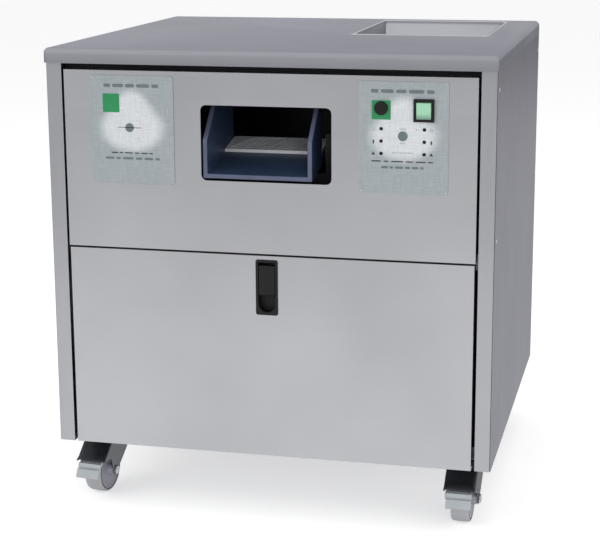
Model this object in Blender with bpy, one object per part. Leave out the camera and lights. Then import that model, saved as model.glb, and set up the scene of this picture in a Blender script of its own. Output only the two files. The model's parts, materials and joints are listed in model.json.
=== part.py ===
"""Floor-standing vibrating cutlery polisher on four castors.

Metres, +Z up. The front faces -Y, and the origin is on the floor under the middle of the machine.
"""

import math

import bmesh
import bpy
import numpy as np
from mathutils import Matrix, Vector
from mathutils.geometry import tessellate_polygon

# Driving dimensions of the vibrating bowl, from the motor outwards
MOTOR_RADIUS = 0.058
MOTOR_CLEARANCE = 0.008
HUB_BEND = 0.026
HEATER_CLEARANCE = 0.001
HEATER_WIDTH = 0.034
SKIRT_CLEARANCE = 0.006
SKIRT_WALL = 0.004
DRAIN_CLEARANCE = 0.002
DRAIN_RADIUS = 0.023
DRAIN_WALL = 0.003
DRAIN_FLANGE = 0.008
DRAIN_EDGE = 0.003
BOWL_BEND_WIDTH = 0.046
BOWL_WALL = 0.005
HUB_RADIUS = MOTOR_RADIUS + MOTOR_CLEARANCE + BOWL_WALL
HEATER_INNER = HUB_RADIUS + HUB_BEND + HEATER_CLEARANCE
HEATER_OUTER = HEATER_INNER + HEATER_WIDTH
SKIRT_RADIUS = HEATER_OUTER + SKIRT_CLEARANCE + SKIRT_WALL
DRAIN_FLANGE_RADIUS = DRAIN_RADIUS + DRAIN_WALL + DRAIN_FLANGE
DRAIN_REACH = SKIRT_RADIUS + DRAIN_CLEARANCE + DRAIN_FLANGE_RADIUS
BEND_START = DRAIN_REACH + DRAIN_RADIUS + DRAIN_EDGE
BOWL_RADIUS = BEND_START + BOWL_BEND_WIDTH + BOWL_WALL

# Driving dimensions of the cabinet, which is built round the bowl with room on each side
SIDE_ROOM = 0.095
FRONT_ROOM = 0.084
REAR_ROOM = 0.056
BODY_WIDTH = 2 * (BOWL_RADIUS + SIDE_ROOM)
BODY_DEPTH = 2 * BOWL_RADIUS + FRONT_ROOM + REAR_ROOM
BODY_HEIGHT = 0.614
CASTOR_HEIGHT = 0.107
WORKTOP_THICKNESS = 0.023
FRONT_OVERHANG = 0.012
SIDE_OVERHANG = 0.001
SPLIT_HEIGHT = 0.3245
POST_WIDTH = 0.025
REAR_RECESS = 0.020

# Sheets, clearances and how finely round shapes are faceted
SHEET = 0.002
SIDE_SHEET = 0.0012
FIT = 0.0003
OVERRUN = 0.010
ROUND_SIDES = 20
SMALL_ROUND_SIDES = 12

# Planes of the cabinet that many pieces share
FLOOR_OF_BODY = CASTOR_HEIGHT
TOP_OF_BODY = CASTOR_HEIGHT + BODY_HEIGHT
SPLIT = FLOOR_OF_BODY + SPLIT_HEIGHT
SIDE = BODY_WIDTH / 2
FRONT = -(BODY_DEPTH + FRONT_OVERHANG) / 2 + FRONT_OVERHANG
REAR = FRONT + BODY_DEPTH
FRAME_OUTSIDE = SIDE - SIDE_SHEET - FIT
FRAME_INSIDE = SIDE - POST_WIDTH
BOWL_CENTRE = (0, FRONT + FRONT_ROOM + BOWL_RADIUS)

for old in list(bpy.data.objects):
    bpy.data.objects.remove(old, do_unlink=True)


def finish(name, colour, roughness, metallic=0.0):
    """One surface finish, from its sRGB colour in shares of full, its roughness and its metallic value."""
    made = bpy.data.materials.new(name)
    made.use_nodes = True
    surface = made.node_tree.nodes["Principled BSDF"]
    linear = [((part + 0.055) / 1.055) ** 2.4 for part in colour]
    surface.inputs["Base Color"].default_value = (*linear, 1.0)
    surface.inputs["Roughness"].default_value = roughness
    surface.inputs["Metallic"].default_value = metallic
    return made


SATIN_STEEL = finish("satin_stainless_steel", (0.72, 0.72, 0.74), 0.35, 0.9)
DARK_STEEL = finish("shaded_frame_steel", (0.35, 0.35, 0.37), 0.5, 0.8)
ZINC = finish("zinc_plated_steel", (0.74, 0.77, 0.79), 0.4, 0.8)
BLUE_PLASTIC = finish("navy_moulded_plastic", (0.15, 0.18, 0.25), 0.45)
BLACK_PLASTIC = finish("black_moulded_plastic", (0.08, 0.08, 0.09), 0.4)
LIT_GREEN = finish("lit_green_lens", (0.80, 0.90, 0.78), 0.3)
GREY_RUBBER = finish("grey_castor_rubber", (0.78, 0.78, 0.79), 0.6)
LABEL_SHEET = finish("coated_label_plate", (0.70, 0.73, 0.74), 0.4)
MOTOR_PAINT = finish("painted_motor_iron", (0.30, 0.33, 0.36), 0.5, 0.3)
SPRING_STEEL = finish("spring_steel", (0.45, 0.46, 0.48), 0.35, 0.9)


def solid(name, points, faces, surface, round_edges=False):
    """One closed body from its points and faces, with every face turned outwards."""
    mesh = bpy.data.meshes.new(name)
    mesh.from_pydata([tuple(point) for point in points], [], [tuple(face) for face in faces])
    shape = bmesh.new()
    shape.from_mesh(mesh)
    bmesh.ops.recalc_face_normals(shape, faces=shape.faces)
    shape.to_mesh(mesh)
    shape.free()
    mesh.materials.append(surface)
    if round_edges:
        mesh.shade_smooth()
        mesh.set_sharp_from_angle(angle=math.radians(40))
    made = bpy.data.objects.new(name, mesh)
    bpy.context.scene.collection.objects.link(made)
    return made


def in_plane(plane, across, up, along):
    """A point of a drawing that lies in the top, front or side plane, at its place along the third axis."""
    if plane == "top":
        return (across, up, along)
    if plane == "front":
        return (across, along, up)
    return (along, across, up)


def rectangle(left, right, low, high):
    return [(left, low), (right, low), (right, high), (left, high)]


def rounded(left, right, low, high, low_radius, high_radius=None, steps=3):
    """A rectangle whose lower and upper corners are arcs."""
    high_radius = low_radius if high_radius is None else high_radius
    corners = [
        (right - low_radius, low + low_radius, low_radius, -90),
        (right - high_radius, high - high_radius, high_radius, 0),
        (left + high_radius, high - high_radius, high_radius, 90),
        (left + low_radius, low + low_radius, low_radius, 180),
    ]
    outline = []
    for across, up, radius, first in corners:
        for step in range(steps + 1):
            turn = math.radians(first + 90 * step / steps)
            outline.append((across + radius * math.cos(turn), up + radius * math.sin(turn)))
    return outline


def circle(across, up, radius, sides=SMALL_ROUND_SIDES):
    turns = [2 * math.pi * side / sides for side in range(sides)]
    return [(across + radius * math.cos(turn), up + radius * math.sin(turn)) for turn in turns]


def prism(name, plane, outline, start, end, surface, holes=()):
    """An outline with its holes, drawn in a plane and extruded from start to end."""
    loops = [outline, *holes]
    fill = tessellate_polygon([[Vector((across, up, 0)) for across, up in loop] for loop in loops])
    drawn = [point for loop in loops for point in loop]
    count = len(drawn)
    points = [in_plane(plane, across, up, along) for along in (start, end) for across, up in drawn]
    faces = [tuple(face) for face in fill]
    faces += [tuple(corner + count for corner in face) for face in fill]
    first = 0
    for loop in loops:
        for corner in range(len(loop)):
            here = first + corner
            there = first + (corner + 1) % len(loop)
            faces.append((here, there, there + count, here + count))
        first += len(loop)
    return solid(name, points, faces, surface)


def tray(name, plane, outline, inset, face, inner_face, rim, surface, holes=()):
    """A sheet whose edge is folded back into a flange: face to inner_face is the sheet, and the flange ends at rim."""
    outside = [outline, *holes]
    inside = [inset, *holes]
    points = []
    faces = []
    for loops, along in ((outside, face), (inside, inner_face)):
        first = len(points)
        fill = tessellate_polygon([[Vector((a, u, 0)) for a, u in loop] for loop in loops])
        points += [in_plane(plane, a, u, along) for loop in loops for a, u in loop]
        faces += [tuple(corner + first for corner in face_of) for face_of in fill]
    corners = len(outline)
    size = corners + sum(len(hole) for hole in holes)
    start = corners
    for hole in holes:
        for corner in range(len(hole)):
            here = start + corner
            there = start + (corner + 1) % len(hole)
            faces.append((here, there, there + size, here + size))
        start += len(hole)
    rim_outside = len(points)
    points += [in_plane(plane, a, u, rim) for a, u in outline]
    points += [in_plane(plane, a, u, rim) for a, u in inset]
    rim_inside = rim_outside + corners
    for corner in range(corners):
        other = (corner + 1) % corners
        faces.append((corner, other, rim_outside + other, rim_outside + corner))
        faces.append((rim_outside + corner, rim_outside + other, rim_inside + other, rim_inside + corner))
        faces.append((rim_inside + corner, rim_inside + other, size + other, size + corner))
    return solid(name, points, faces, surface)


def stack(name, plane, levels, surface, closed=False):
    """Outlines with one count of points, joined level by level; closed joins the last to the first, or both are capped."""
    count = len(levels[0][0])
    points = [in_plane(plane, a, u, along) for outline, along in levels for a, u in outline]
    faces = []
    for level in range(len(levels) if closed else len(levels) - 1):
        low = level * count
        high = (level + 1) % len(levels) * count
        for corner in range(count):
            other = (corner + 1) % count
            faces.append((low + corner, low + other, high + other, high + corner))
    if not closed:
        faces.append(tuple(range(count)))
        faces.append(tuple(range(len(points) - count, len(points))))
    return solid(name, points, faces, surface)


def box(name, low, high, surface):
    outline = rectangle(low[0], high[0], low[1], high[1])
    return prism(name, "top", outline, low[2], high[2], surface)


def turned(name, profile, surface, centre, axis="z", sides=ROUND_SIDES, ring=False):
    """A profile of (radius, height) points turned round an axis; a ring joins its last point to its first."""
    points = []
    rings = []
    for radius, height in profile:
        first = len(points)
        count = 1 if radius == 0 else sides
        for side in range(count):
            turn = 2 * math.pi * side / sides
            across = radius * math.cos(turn)
            up = radius * math.sin(turn)
            place = {"x": (height, across, up), "y": (across, height, up), "z": (across, up, height)}[axis]
            points.append(tuple(value + start for value, start in zip(place, centre)))
        rings.append([first + side % count for side in range(sides)])
    faces = []
    pairs = list(zip(rings, rings[1:])) + ([(rings[-1], rings[0])] if ring else [])
    for low, high in pairs:
        for side in range(sides):
            other = (side + 1) % sides
            face = list(dict.fromkeys((low[side], low[other], high[other], high[side])))
            if len(face) > 2:
                faces.append(face)
    return solid(name, points, faces, surface, round_edges=True)


def rod(name, radius, start, end, surface, centre, axis="z", sides=SMALL_ROUND_SIDES):
    return turned(name, [(0, start), (radius, start), (radius, end), (0, end)], surface, centre, axis, sides)


def combine(target, other, operation):
    """Cuts other from target, or joins it, and hides it as a guide that follows the target's parent."""
    other.hide_render = True
    other.display_type = "WIRE"
    change = target.modifiers.new(other.name, "BOOLEAN")
    change.operation = operation
    change.object = other
    change.solver = "EXACT"


def carve(target, *cutters):
    for cutter in cutters:
        combine(target, cutter, "DIFFERENCE")


def weld(target, *pieces):
    for piece in pieces:
        combine(target, piece, "UNION")


def turn_about(piece, point):
    """Puts a moving piece's origin on its joint axis, with its shape left where it is."""
    piece.data.transform(Matrix.Translation(-Vector(point)))
    piece.location = point


# Side frames: welded square posts and rails with the outer sheets riveted on
PANEL_DEPTH = 0.018
DOOR_PIN_RADIUS = 0.003
DOOR_AXIS_SETBACK = 0.009
DOOR_AXIS_RISE = 0.010
DOOR_AXIS = (0, FRONT + DOOR_AXIS_SETBACK, FLOOR_OF_BODY + DOOR_AXIS_RISE)
DOOR_PIN_DEPTH = 0.015
SIDE_SEAM = 0.0015

for side, hand in ((-1, "left"), (1, "right")):
    side_frame = prism(
        f"{hand}_side_frame",
        "side",
        rectangle(FRONT, REAR, FLOOR_OF_BODY, TOP_OF_BODY - FIT),
        side * FRAME_INSIDE,
        side * FRAME_OUTSIDE,
        SATIN_STEEL,
        holes=[
            rectangle(
                FRONT + POST_WIDTH,
                REAR - POST_WIDTH,
                FLOOR_OF_BODY + POST_WIDTH,
                TOP_OF_BODY - POST_WIDTH,
            )
        ],
    )
    pin_bore = rod(
        f"{hand}_pin_bore_cutter",
        DOOR_PIN_RADIUS + FIT,
        side * (FRAME_INSIDE - OVERRUN),
        side * (FRAME_INSIDE + DOOR_PIN_DEPTH + FIT),
        SATIN_STEEL,
        DOOR_AXIS,
        "x",
    )
    carve(side_frame, pin_bore)
    box(
        f"{hand}_side_panel",
        (min(side * SIDE, side * (SIDE - SIDE_SHEET)), FRONT + SIDE_SEAM, FLOOR_OF_BODY),
        (max(side * SIDE, side * (SIDE - SIDE_SHEET)), REAR, TOP_OF_BODY - FIT),
        SATIN_STEEL,
    )

# Base pan: a folded tray between the side frames, with bosses that locate the springs
PAN_FRONT_GAP = 0.008
PAN_HEIGHT = 0.030
PLATE_BORDER = 0.012
SPRING_INSET = 0.029
PLATE_HALF = SKIRT_RADIUS + PLATE_BORDER
SPRING_REACH = PLATE_HALF - SPRING_INSET
SPRING_BOSS_RADIUS = 0.0195
SPRING_BOSS_HEIGHT = 0.010
PAN_HALF = FRAME_INSIDE - FIT
PAN_FRONT = FRONT + PANEL_DEPTH + PAN_FRONT_GAP
REAR_PANEL_FACE = REAR - REAR_RECESS - SHEET
PAN_REAR = REAR_PANEL_FACE - FIT
PAN_TOP = FLOOR_OF_BODY + SHEET
SPRING_PLACES = {
    f"{row}_{hand}": (BOWL_CENTRE[0] + across * SPRING_REACH, BOWL_CENTRE[1] + along * SPRING_REACH)
    for row, along in (("front", -1), ("rear", 1))
    for hand, across in (("left", -1), ("right", 1))
}

base_pan = tray(
    "base_pan",
    "top",
    rectangle(-PAN_HALF, PAN_HALF, PAN_FRONT, PAN_REAR),
    rectangle(-PAN_HALF + SHEET, PAN_HALF - SHEET, PAN_FRONT + SHEET, PAN_REAR - SHEET),
    FLOOR_OF_BODY,
    PAN_TOP,
    FLOOR_OF_BODY + PAN_HEIGHT,
    SATIN_STEEL,
)
for place, (across, along) in SPRING_PLACES.items():
    weld(
        base_pan,
        rod(
            f"pan_boss_{place}",
            SPRING_BOSS_RADIUS,
            FLOOR_OF_BODY + SHEET / 2,
            PAN_TOP + SPRING_BOSS_HEIGHT,
            SATIN_STEEL,
            (across, along, 0),
        ),
    )

# Mid rail: a channel behind the split, which the panel and the door close against
RAIL_HEIGHT = 0.025
RAIL_DEPTH = 0.025
RAIL_FRONT = FRONT + PANEL_DEPTH + FIT
RAIL_BOTTOM = SPLIT - RAIL_HEIGHT / 2
RAIL_TOP = SPLIT + RAIL_HEIGHT / 2

prism(
    "mid_rail",
    "side",
    [
        (RAIL_FRONT, RAIL_BOTTOM),
        (RAIL_FRONT + RAIL_DEPTH, RAIL_BOTTOM),
        (RAIL_FRONT + RAIL_DEPTH, RAIL_BOTTOM + SHEET),
        (RAIL_FRONT + SHEET, RAIL_BOTTOM + SHEET),
        (RAIL_FRONT + SHEET, RAIL_TOP - SHEET),
        (RAIL_FRONT + RAIL_DEPTH, RAIL_TOP - SHEET),
        (RAIL_FRONT + RAIL_DEPTH, RAIL_TOP),
        (RAIL_FRONT, RAIL_TOP),
    ],
    -PAN_HALF,
    PAN_HALF,
    SATIN_STEEL,
)

# Top frame: an angle ring under the worktop, seen as the dark band above the upper panel
TOP_FRAME_HEIGHT = 0.028
TOP_FRAME_WIDTH = 0.022
TOP_FRAME_TOP = TOP_OF_BODY - FIT

tray(
    "top_frame",
    "top",
    rectangle(-PAN_HALF, PAN_HALF, RAIL_FRONT, PAN_REAR),
    rectangle(-PAN_HALF + SHEET, PAN_HALF - SHEET, RAIL_FRONT + SHEET, PAN_REAR - SHEET),
    TOP_FRAME_TOP,
    TOP_FRAME_TOP - SHEET,
    TOP_FRAME_TOP - TOP_FRAME_HEIGHT,
    DARK_STEEL,
    holes=[
        rectangle(
            -PAN_HALF + TOP_FRAME_WIDTH,
            PAN_HALF - TOP_FRAME_WIDTH,
            RAIL_FRONT + TOP_FRAME_WIDTH,
            PAN_REAR - TOP_FRAME_WIDTH,
        )
    ],
)

# Rear panel: a flat sheet with rows of vent slots and the hole for the cord gland
VENT_WIDTH = 0.090
VENT_HEIGHT = 0.006
VENT_PITCH = 0.020
VENT_ROWS = 6
VENT_COLUMN_OFFSET = 0.130
VENT_BOTTOM = FLOOR_OF_BODY + 0.060
GLAND_RADIUS = 0.009
GLAND_INSET = 0.110
GLAND_RISE = 0.300
GLAND_PLACE = (SIDE - GLAND_INSET, FLOOR_OF_BODY + GLAND_RISE)

vents = []
for column in (-1, 1):
    for row in range(VENT_ROWS):
        middle = column * VENT_COLUMN_OFFSET
        low = VENT_BOTTOM + row * VENT_PITCH
        vents.append(rectangle(middle - VENT_WIDTH / 2, middle + VENT_WIDTH / 2, low, low + VENT_HEIGHT))
prism(
    "rear_panel",
    "front",
    rectangle(-PAN_HALF, PAN_HALF, FLOOR_OF_BODY, TOP_FRAME_TOP),
    REAR_PANEL_FACE,
    REAR_PANEL_FACE + SHEET,
    SATIN_STEEL,
    holes=[*vents, circle(*GLAND_PLACE, GLAND_RADIUS + FIT)],
)
GLAND_FLANGE_RADIUS = 0.013
GLAND_INSIDE = 0.012
GLAND_OUTSIDE = 0.016
GLAND_FLANGE = 0.004
GLAND_BORE = 0.0045
turned(
    "cable_gland",
    [
        (GLAND_BORE, -GLAND_INSIDE),
        (GLAND_RADIUS, -GLAND_INSIDE),
        (GLAND_RADIUS, SHEET + FIT),
        (GLAND_FLANGE_RADIUS, SHEET + FIT),
        (GLAND_FLANGE_RADIUS, SHEET + FIT + GLAND_FLANGE),
        (GLAND_RADIUS, GLAND_OUTSIDE),
        (GLAND_BORE, GLAND_OUTSIDE),
    ],
    BLACK_PLASTIC,
    (GLAND_PLACE[0], REAR_PANEL_FACE, GLAND_PLACE[1]),
    "y",
    SMALL_ROUND_SIDES,
    ring=True,
)

# Upper front panel and what is mounted in it: discharge opening, label plates, switch, button and lamps
PANEL_GAP = 0.0037
SEAM_GAP = 0.003
TOP_BAND = 0.0105
PANEL_HALF = FRAME_INSIDE - PANEL_GAP
PANEL_BOTTOM = SPLIT + SEAM_GAP / 2
PANEL_TOP = TOP_OF_BODY - TOP_BAND
OPENING_WIDTH = 0.204
OPENING_HEIGHT = 0.116
OPENING_RADIUS = 0.008
OPENING_DROP = 0.1185
OPENING_MIDDLE = TOP_OF_BODY - OPENING_DROP
LABEL_WIDTH = 0.134
LABEL_HEIGHT = 0.168
LABEL_RADIUS = 0.005
LABEL_SHEET_THICKNESS = 0.0010
LABEL_INSET = 0.1098
LABEL_DROP = 0.102
LABEL_OFFSET = PANEL_HALF - LABEL_INSET
LABEL_MIDDLE = TOP_OF_BODY - LABEL_DROP
SWITCH_PLACE = (LABEL_OFFSET + 0.0302, LABEL_MIDDLE + 0.0420)
SWITCH_BEZEL = (0.031, 0.034)
SWITCH_BODY = (0.027, 0.030)
SWITCH_KEY = (0.0215, 0.0250)
SWITCH_DEPTH = 0.024
SWITCH_STAND = 0.003
SWITCH_CLEARANCE = 0.0004
BUTTON_PLACE = (LABEL_OFFSET - 0.0338, LABEL_MIDDLE + 0.0442)
BUTTON_RADIUS = 0.0103
BUTTON_STEM_RADIUS = 0.006
BUTTON_CAP = 0.0035
BUTTON_TRAVEL = 0.003
BUTTON_FLANGE_RADIUS = 0.0085
BUTTON_FLANGE = 0.0015
BUTTON_STEM = 0.010
LAMP_COLUMNS = {"left": LABEL_OFFSET - 0.0338, "right": LABEL_OFFSET + 0.0309}
LAMP_MIDDLE = LABEL_MIDDLE - 0.005
LAMP_PITCH = 0.0185
LAMP_RADIUS = 0.0025
LAMP_STAND = 0.0012
LAMP_BOARD = (0.012, 0.050)
LAMP_BOARD_THICKNESS = 0.0016
LABEL_FRONT = FRONT - FIT - LABEL_SHEET_THICKNESS

opening = rounded(
    -OPENING_WIDTH / 2,
    OPENING_WIDTH / 2,
    OPENING_MIDDLE - OPENING_HEIGHT / 2,
    OPENING_MIDDLE + OPENING_HEIGHT / 2,
    OPENING_RADIUS,
)
switch_hole = rectangle(
    SWITCH_PLACE[0] - SWITCH_BODY[0] / 2 - FIT,
    SWITCH_PLACE[0] + SWITCH_BODY[0] / 2 + FIT,
    SWITCH_PLACE[1] - SWITCH_BODY[1] / 2 - FIT,
    SWITCH_PLACE[1] + SWITCH_BODY[1] / 2 + FIT,
)
button_hole = circle(*BUTTON_PLACE, BUTTON_STEM_RADIUS + FIT)
lamp_places = [
    (column, LAMP_MIDDLE + row * LAMP_PITCH) for column in LAMP_COLUMNS.values() for row in (-1, 0, 1)
]
lamp_holes = [circle(*place, LAMP_RADIUS + FIT, SMALL_ROUND_SIDES) for place in lamp_places]
control_holes = [switch_hole, button_hole, *lamp_holes]


def sheet_outline(half, low, high, inset=0):
    return rectangle(-half + inset, half - inset, low + inset, high - inset)


tray(
    "upper_front_panel",
    "front",
    sheet_outline(PANEL_HALF, PANEL_BOTTOM, PANEL_TOP),
    sheet_outline(PANEL_HALF, PANEL_BOTTOM, PANEL_TOP, SHEET),
    FRONT,
    FRONT + SHEET,
    FRONT + PANEL_DEPTH,
    SATIN_STEEL,
    holes=[opening, *control_holes],
)
for side, hand in ((-1, "left"), (1, "right")):
    prism(
        f"{hand}_label_plate",
        "front",
        rounded(
            side * LABEL_OFFSET - LABEL_WIDTH / 2,
            side * LABEL_OFFSET + LABEL_WIDTH / 2,
            LABEL_MIDDLE - LABEL_HEIGHT / 2,
            LABEL_MIDDLE + LABEL_HEIGHT / 2,
            LABEL_RADIUS,
        ),
        LABEL_FRONT,
        FRONT - FIT,
        LABEL_SHEET,
        holes=control_holes if hand == "right" else (),
    )


def about_switch(size):
    return rectangle(
        SWITCH_PLACE[0] - size[0] / 2,
        SWITCH_PLACE[0] + size[0] / 2,
        SWITCH_PLACE[1] - size[1] / 2,
        SWITCH_PLACE[1] + size[1] / 2,
    )


key_space = tuple(length + 2 * SWITCH_CLEARANCE for length in SWITCH_KEY)
SWITCH_BACK_OF_BEZEL = LABEL_FRONT - FIT
stack(
    "rocker_housing",
    "front",
    [
        (about_switch(key_space), SWITCH_BACK_OF_BEZEL - SWITCH_STAND),
        (about_switch(SWITCH_BEZEL), SWITCH_BACK_OF_BEZEL - SWITCH_STAND),
        (about_switch(SWITCH_BEZEL), SWITCH_BACK_OF_BEZEL),
        (about_switch(SWITCH_BODY), SWITCH_BACK_OF_BEZEL),
        (about_switch(SWITCH_BODY), FRONT + SWITCH_DEPTH),
        (about_switch(key_space), FRONT + SWITCH_DEPTH),
    ],
    BLACK_PLASTIC,
    closed=True,
)

# Rocker key: its two faces meet over the pivot, and it rests tilted to one side
KEY_TILT = math.radians(5)
KEY_FACE = 0.0075
KEY_DIP = 0.0010
KEY_BACK = 0.0060
KEY_BACK_HALF = 0.0040
KEY_AXIS = (SWITCH_PLACE[0], LABEL_FRONT + SWITCH_STAND / 2, SWITCH_PLACE[1])
key_half = SWITCH_KEY[1] / 2 - SWITCH_CLEARANCE
key_side = [
    (-KEY_FACE + KEY_DIP, 0),
    (-KEY_FACE, -key_half),
    (0, -key_half),
    (KEY_BACK, -KEY_BACK_HALF),
    (KEY_BACK, KEY_BACK_HALF),
    (0, key_half),
    (-KEY_FACE, key_half),
]
key_outline = [
    (
        KEY_AXIS[1] + back * math.cos(KEY_TILT) - up * math.sin(KEY_TILT),
        KEY_AXIS[2] + back * math.sin(KEY_TILT) + up * math.cos(KEY_TILT),
    )
    for back, up in key_side
]
rocker_key = prism(
    "rocker_key",
    "side",
    key_outline,
    SWITCH_PLACE[0] - SWITCH_KEY[0] / 2,
    SWITCH_PLACE[0] + SWITCH_KEY[0] / 2,
    LIT_GREEN,
)
turn_about(rocker_key, KEY_AXIS)

# Push button: a domed cap in front of the plate, on a stem that runs in the panel's hole
BUTTON_CROWN = 0.0008
cap_back = LABEL_FRONT - BUTTON_TRAVEL - FIT
flange_front = FRONT + SHEET + FIT
start_button = turned(
    "start_button",
    [
        (0, cap_back - BUTTON_CAP),
        (BUTTON_RADIUS - BUTTON_CROWN, cap_back - BUTTON_CAP + BUTTON_CROWN / 2),
        (BUTTON_RADIUS, cap_back - BUTTON_CAP + 2 * BUTTON_CROWN),
        (BUTTON_RADIUS, cap_back),
        (BUTTON_STEM_RADIUS, cap_back),
        (BUTTON_STEM_RADIUS, flange_front),
        (BUTTON_FLANGE_RADIUS, flange_front),
        (BUTTON_FLANGE_RADIUS, flange_front + BUTTON_FLANGE),
        (BUTTON_STEM_RADIUS, flange_front + BUTTON_FLANGE),
        (BUTTON_STEM_RADIUS, flange_front + BUTTON_STEM),
        (0, flange_front + BUTTON_STEM),
    ],
    BLACK_PLASTIC,
    (BUTTON_PLACE[0], 0, BUTTON_PLACE[1]),
    "y",
    SMALL_ROUND_SIDES,
)
turn_about(start_button, (BUTTON_PLACE[0], LABEL_FRONT, BUTTON_PLACE[1]))

# Indicator strips: a circuit board behind the panel with three lamps through its holes
for hand, column in LAMP_COLUMNS.items():
    board_front = FRONT + SHEET + FIT
    strip = box(
        f"indicator_strip_{hand}",
        (column - LAMP_BOARD[0] / 2, board_front, LAMP_MIDDLE - LAMP_BOARD[1] / 2),
        (column + LAMP_BOARD[0] / 2, board_front + LAMP_BOARD_THICKNESS, LAMP_MIDDLE + LAMP_BOARD[1] / 2),
        BLACK_PLASTIC,
    )
    for row, name in ((-1, "low"), (0, "middle"), (1, "high")):
        lamp = turned(
            f"lamp_{hand}_{name}",
            [
                (0, LABEL_FRONT - LAMP_STAND),
                (LAMP_RADIUS * 2 / 3, LABEL_FRONT - LAMP_STAND * 4 / 5),
                (LAMP_RADIUS, LABEL_FRONT),
                (LAMP_RADIUS, board_front + LAMP_BOARD_THICKNESS / 2),
                (0, board_front + LAMP_BOARD_THICKNESS / 2),
            ],
            BLACK_PLASTIC,
            (column, 0, LAMP_MIDDLE + row * LAMP_PITCH),
            "y",
            SMALL_ROUND_SIDES,
        )
        weld(strip, lamp)

# Electrics box: stands on the mid rail behind the controls and opens towards them
ELECTRICS_WIDTH = 0.120
ELECTRICS_DEPTH = 0.070
ELECTRICS_ABOVE_LABEL = 0.0153
ELECTRICS_SHIFT = 0.0215
ELECTRICS_BEHIND_SWITCH = 0.006
ELECTRICS_LEFT = LABEL_OFFSET - ELECTRICS_SHIFT
ELECTRICS_FRONT = FRONT + SWITCH_DEPTH + ELECTRICS_BEHIND_SWITCH
electrics_bottom = RAIL_TOP + FIT
electrics_top = LABEL_MIDDLE + ELECTRICS_ABOVE_LABEL
electrics_outline = rectangle(
    ELECTRICS_LEFT,
    ELECTRICS_LEFT + ELECTRICS_WIDTH,
    electrics_bottom,
    electrics_top,
)
electrics_inset = rectangle(
    ELECTRICS_LEFT + SHEET,
    ELECTRICS_LEFT + ELECTRICS_WIDTH - SHEET,
    electrics_bottom + SHEET,
    electrics_top - SHEET,
)
tray(
    "electrics_box",
    "front",
    electrics_outline,
    electrics_inset,
    ELECTRICS_FRONT + ELECTRICS_DEPTH,
    ELECTRICS_FRONT + ELECTRICS_DEPTH - SHEET,
    ELECTRICS_FRONT,
    BLACK_PLASTIC,
)

# Worktop: a folded top with a rounded upper edge, hollow below inside its border
WORKTOP_CORNER = 0.010
WORKTOP_EDGE = 0.008
WORKTOP_EDGE_STEPS = 4
WORKTOP_BORDER = 0.030
WORKTOP_HALF = SIDE + SIDE_OVERHANG
WORKTOP_FRONT = FRONT - FRONT_OVERHANG
WORKTOP_TOP = TOP_OF_BODY + WORKTOP_THICKNESS
HOPPER_SIDE_INSET = 0.058
HOPPER_REAR_INSET = 0.051
HOPPER_WIDTH = 0.218
HOPPER_DEPTH = 0.282
HOPPER_RIGHT = SIDE - HOPPER_SIDE_INSET
HOPPER_LEFT = HOPPER_RIGHT - HOPPER_WIDTH
HOPPER_REAR = REAR - HOPPER_REAR_INSET
HOPPER_FRONT = HOPPER_REAR - HOPPER_DEPTH
HOPPER_CORNER = 0.010
HOPPER_WALL = 0.0015


def worktop_outline(inset):
    return rounded(
        -WORKTOP_HALF + inset,
        WORKTOP_HALF - inset,
        WORKTOP_FRONT + inset,
        REAR - inset,
        WORKTOP_CORNER - inset,
    )


levels = [(worktop_outline(0), TOP_OF_BODY)]
for step in range(WORKTOP_EDGE_STEPS + 1):
    turn = math.pi / 2 * step / WORKTOP_EDGE_STEPS
    rise = WORKTOP_TOP - WORKTOP_EDGE + WORKTOP_EDGE * math.sin(turn)
    levels.append((worktop_outline(WORKTOP_EDGE * (1 - math.cos(turn))), rise))
worktop = stack("worktop", "top", levels, SATIN_STEEL)


def hopper_outline(grow, left=HOPPER_LEFT, right=HOPPER_RIGHT, front=HOPPER_FRONT, rear=HOPPER_REAR):
    return rounded(left - grow, right + grow, front - grow, rear + grow, HOPPER_CORNER + grow)


carve(
    worktop,
    box(
        "worktop_hollow_cutter",
        (-WORKTOP_HALF + WORKTOP_BORDER, WORKTOP_FRONT + WORKTOP_BORDER, TOP_OF_BODY - OVERRUN),
        (WORKTOP_HALF - WORKTOP_BORDER, REAR - WORKTOP_BORDER, WORKTOP_TOP - SHEET),
        SATIN_STEEL,
    ),
    prism(
        "worktop_hopper_cutter",
        "top",
        hopper_outline(HOPPER_WALL + FIT),
        TOP_OF_BODY - OVERRUN,
        WORKTOP_TOP + OVERRUN,
        SATIN_STEEL,
    ),
)

# Feed hopper: four sloping walls from the rim in the worktop down to a throat over the bowl
CHUTE_RISE = 0.0025
RIM_ABOVE_LIP = 0.060
THROAT_CLEARANCE = 0.012
THROAT_SIDE_OFFSET = 0.095
THROAT_REAR_OFFSET = 0.010
THROAT_WIDTH = 0.110
THROAT_DEPTH = 0.120
CHUTE_LIP = OPENING_MIDDLE - OPENING_HEIGHT / 2 + CHUTE_RISE
BOWL_RIM = CHUTE_LIP + RIM_ABOVE_LIP
THROAT_LEFT = BOWL_CENTRE[0] + THROAT_SIDE_OFFSET
THROAT_RIGHT = THROAT_LEFT + THROAT_WIDTH
THROAT_FRONT = BOWL_CENTRE[1] + THROAT_REAR_OFFSET
THROAT_REAR = THROAT_FRONT + THROAT_DEPTH
THROAT_BOTTOM = BOWL_RIM + THROAT_CLEARANCE
THROAT_NECK = 0.015
HOPPER_LIP = 0.004


def throat_outline(grow):
    return hopper_outline(grow, THROAT_LEFT, THROAT_RIGHT, THROAT_FRONT, THROAT_REAR)


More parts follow.
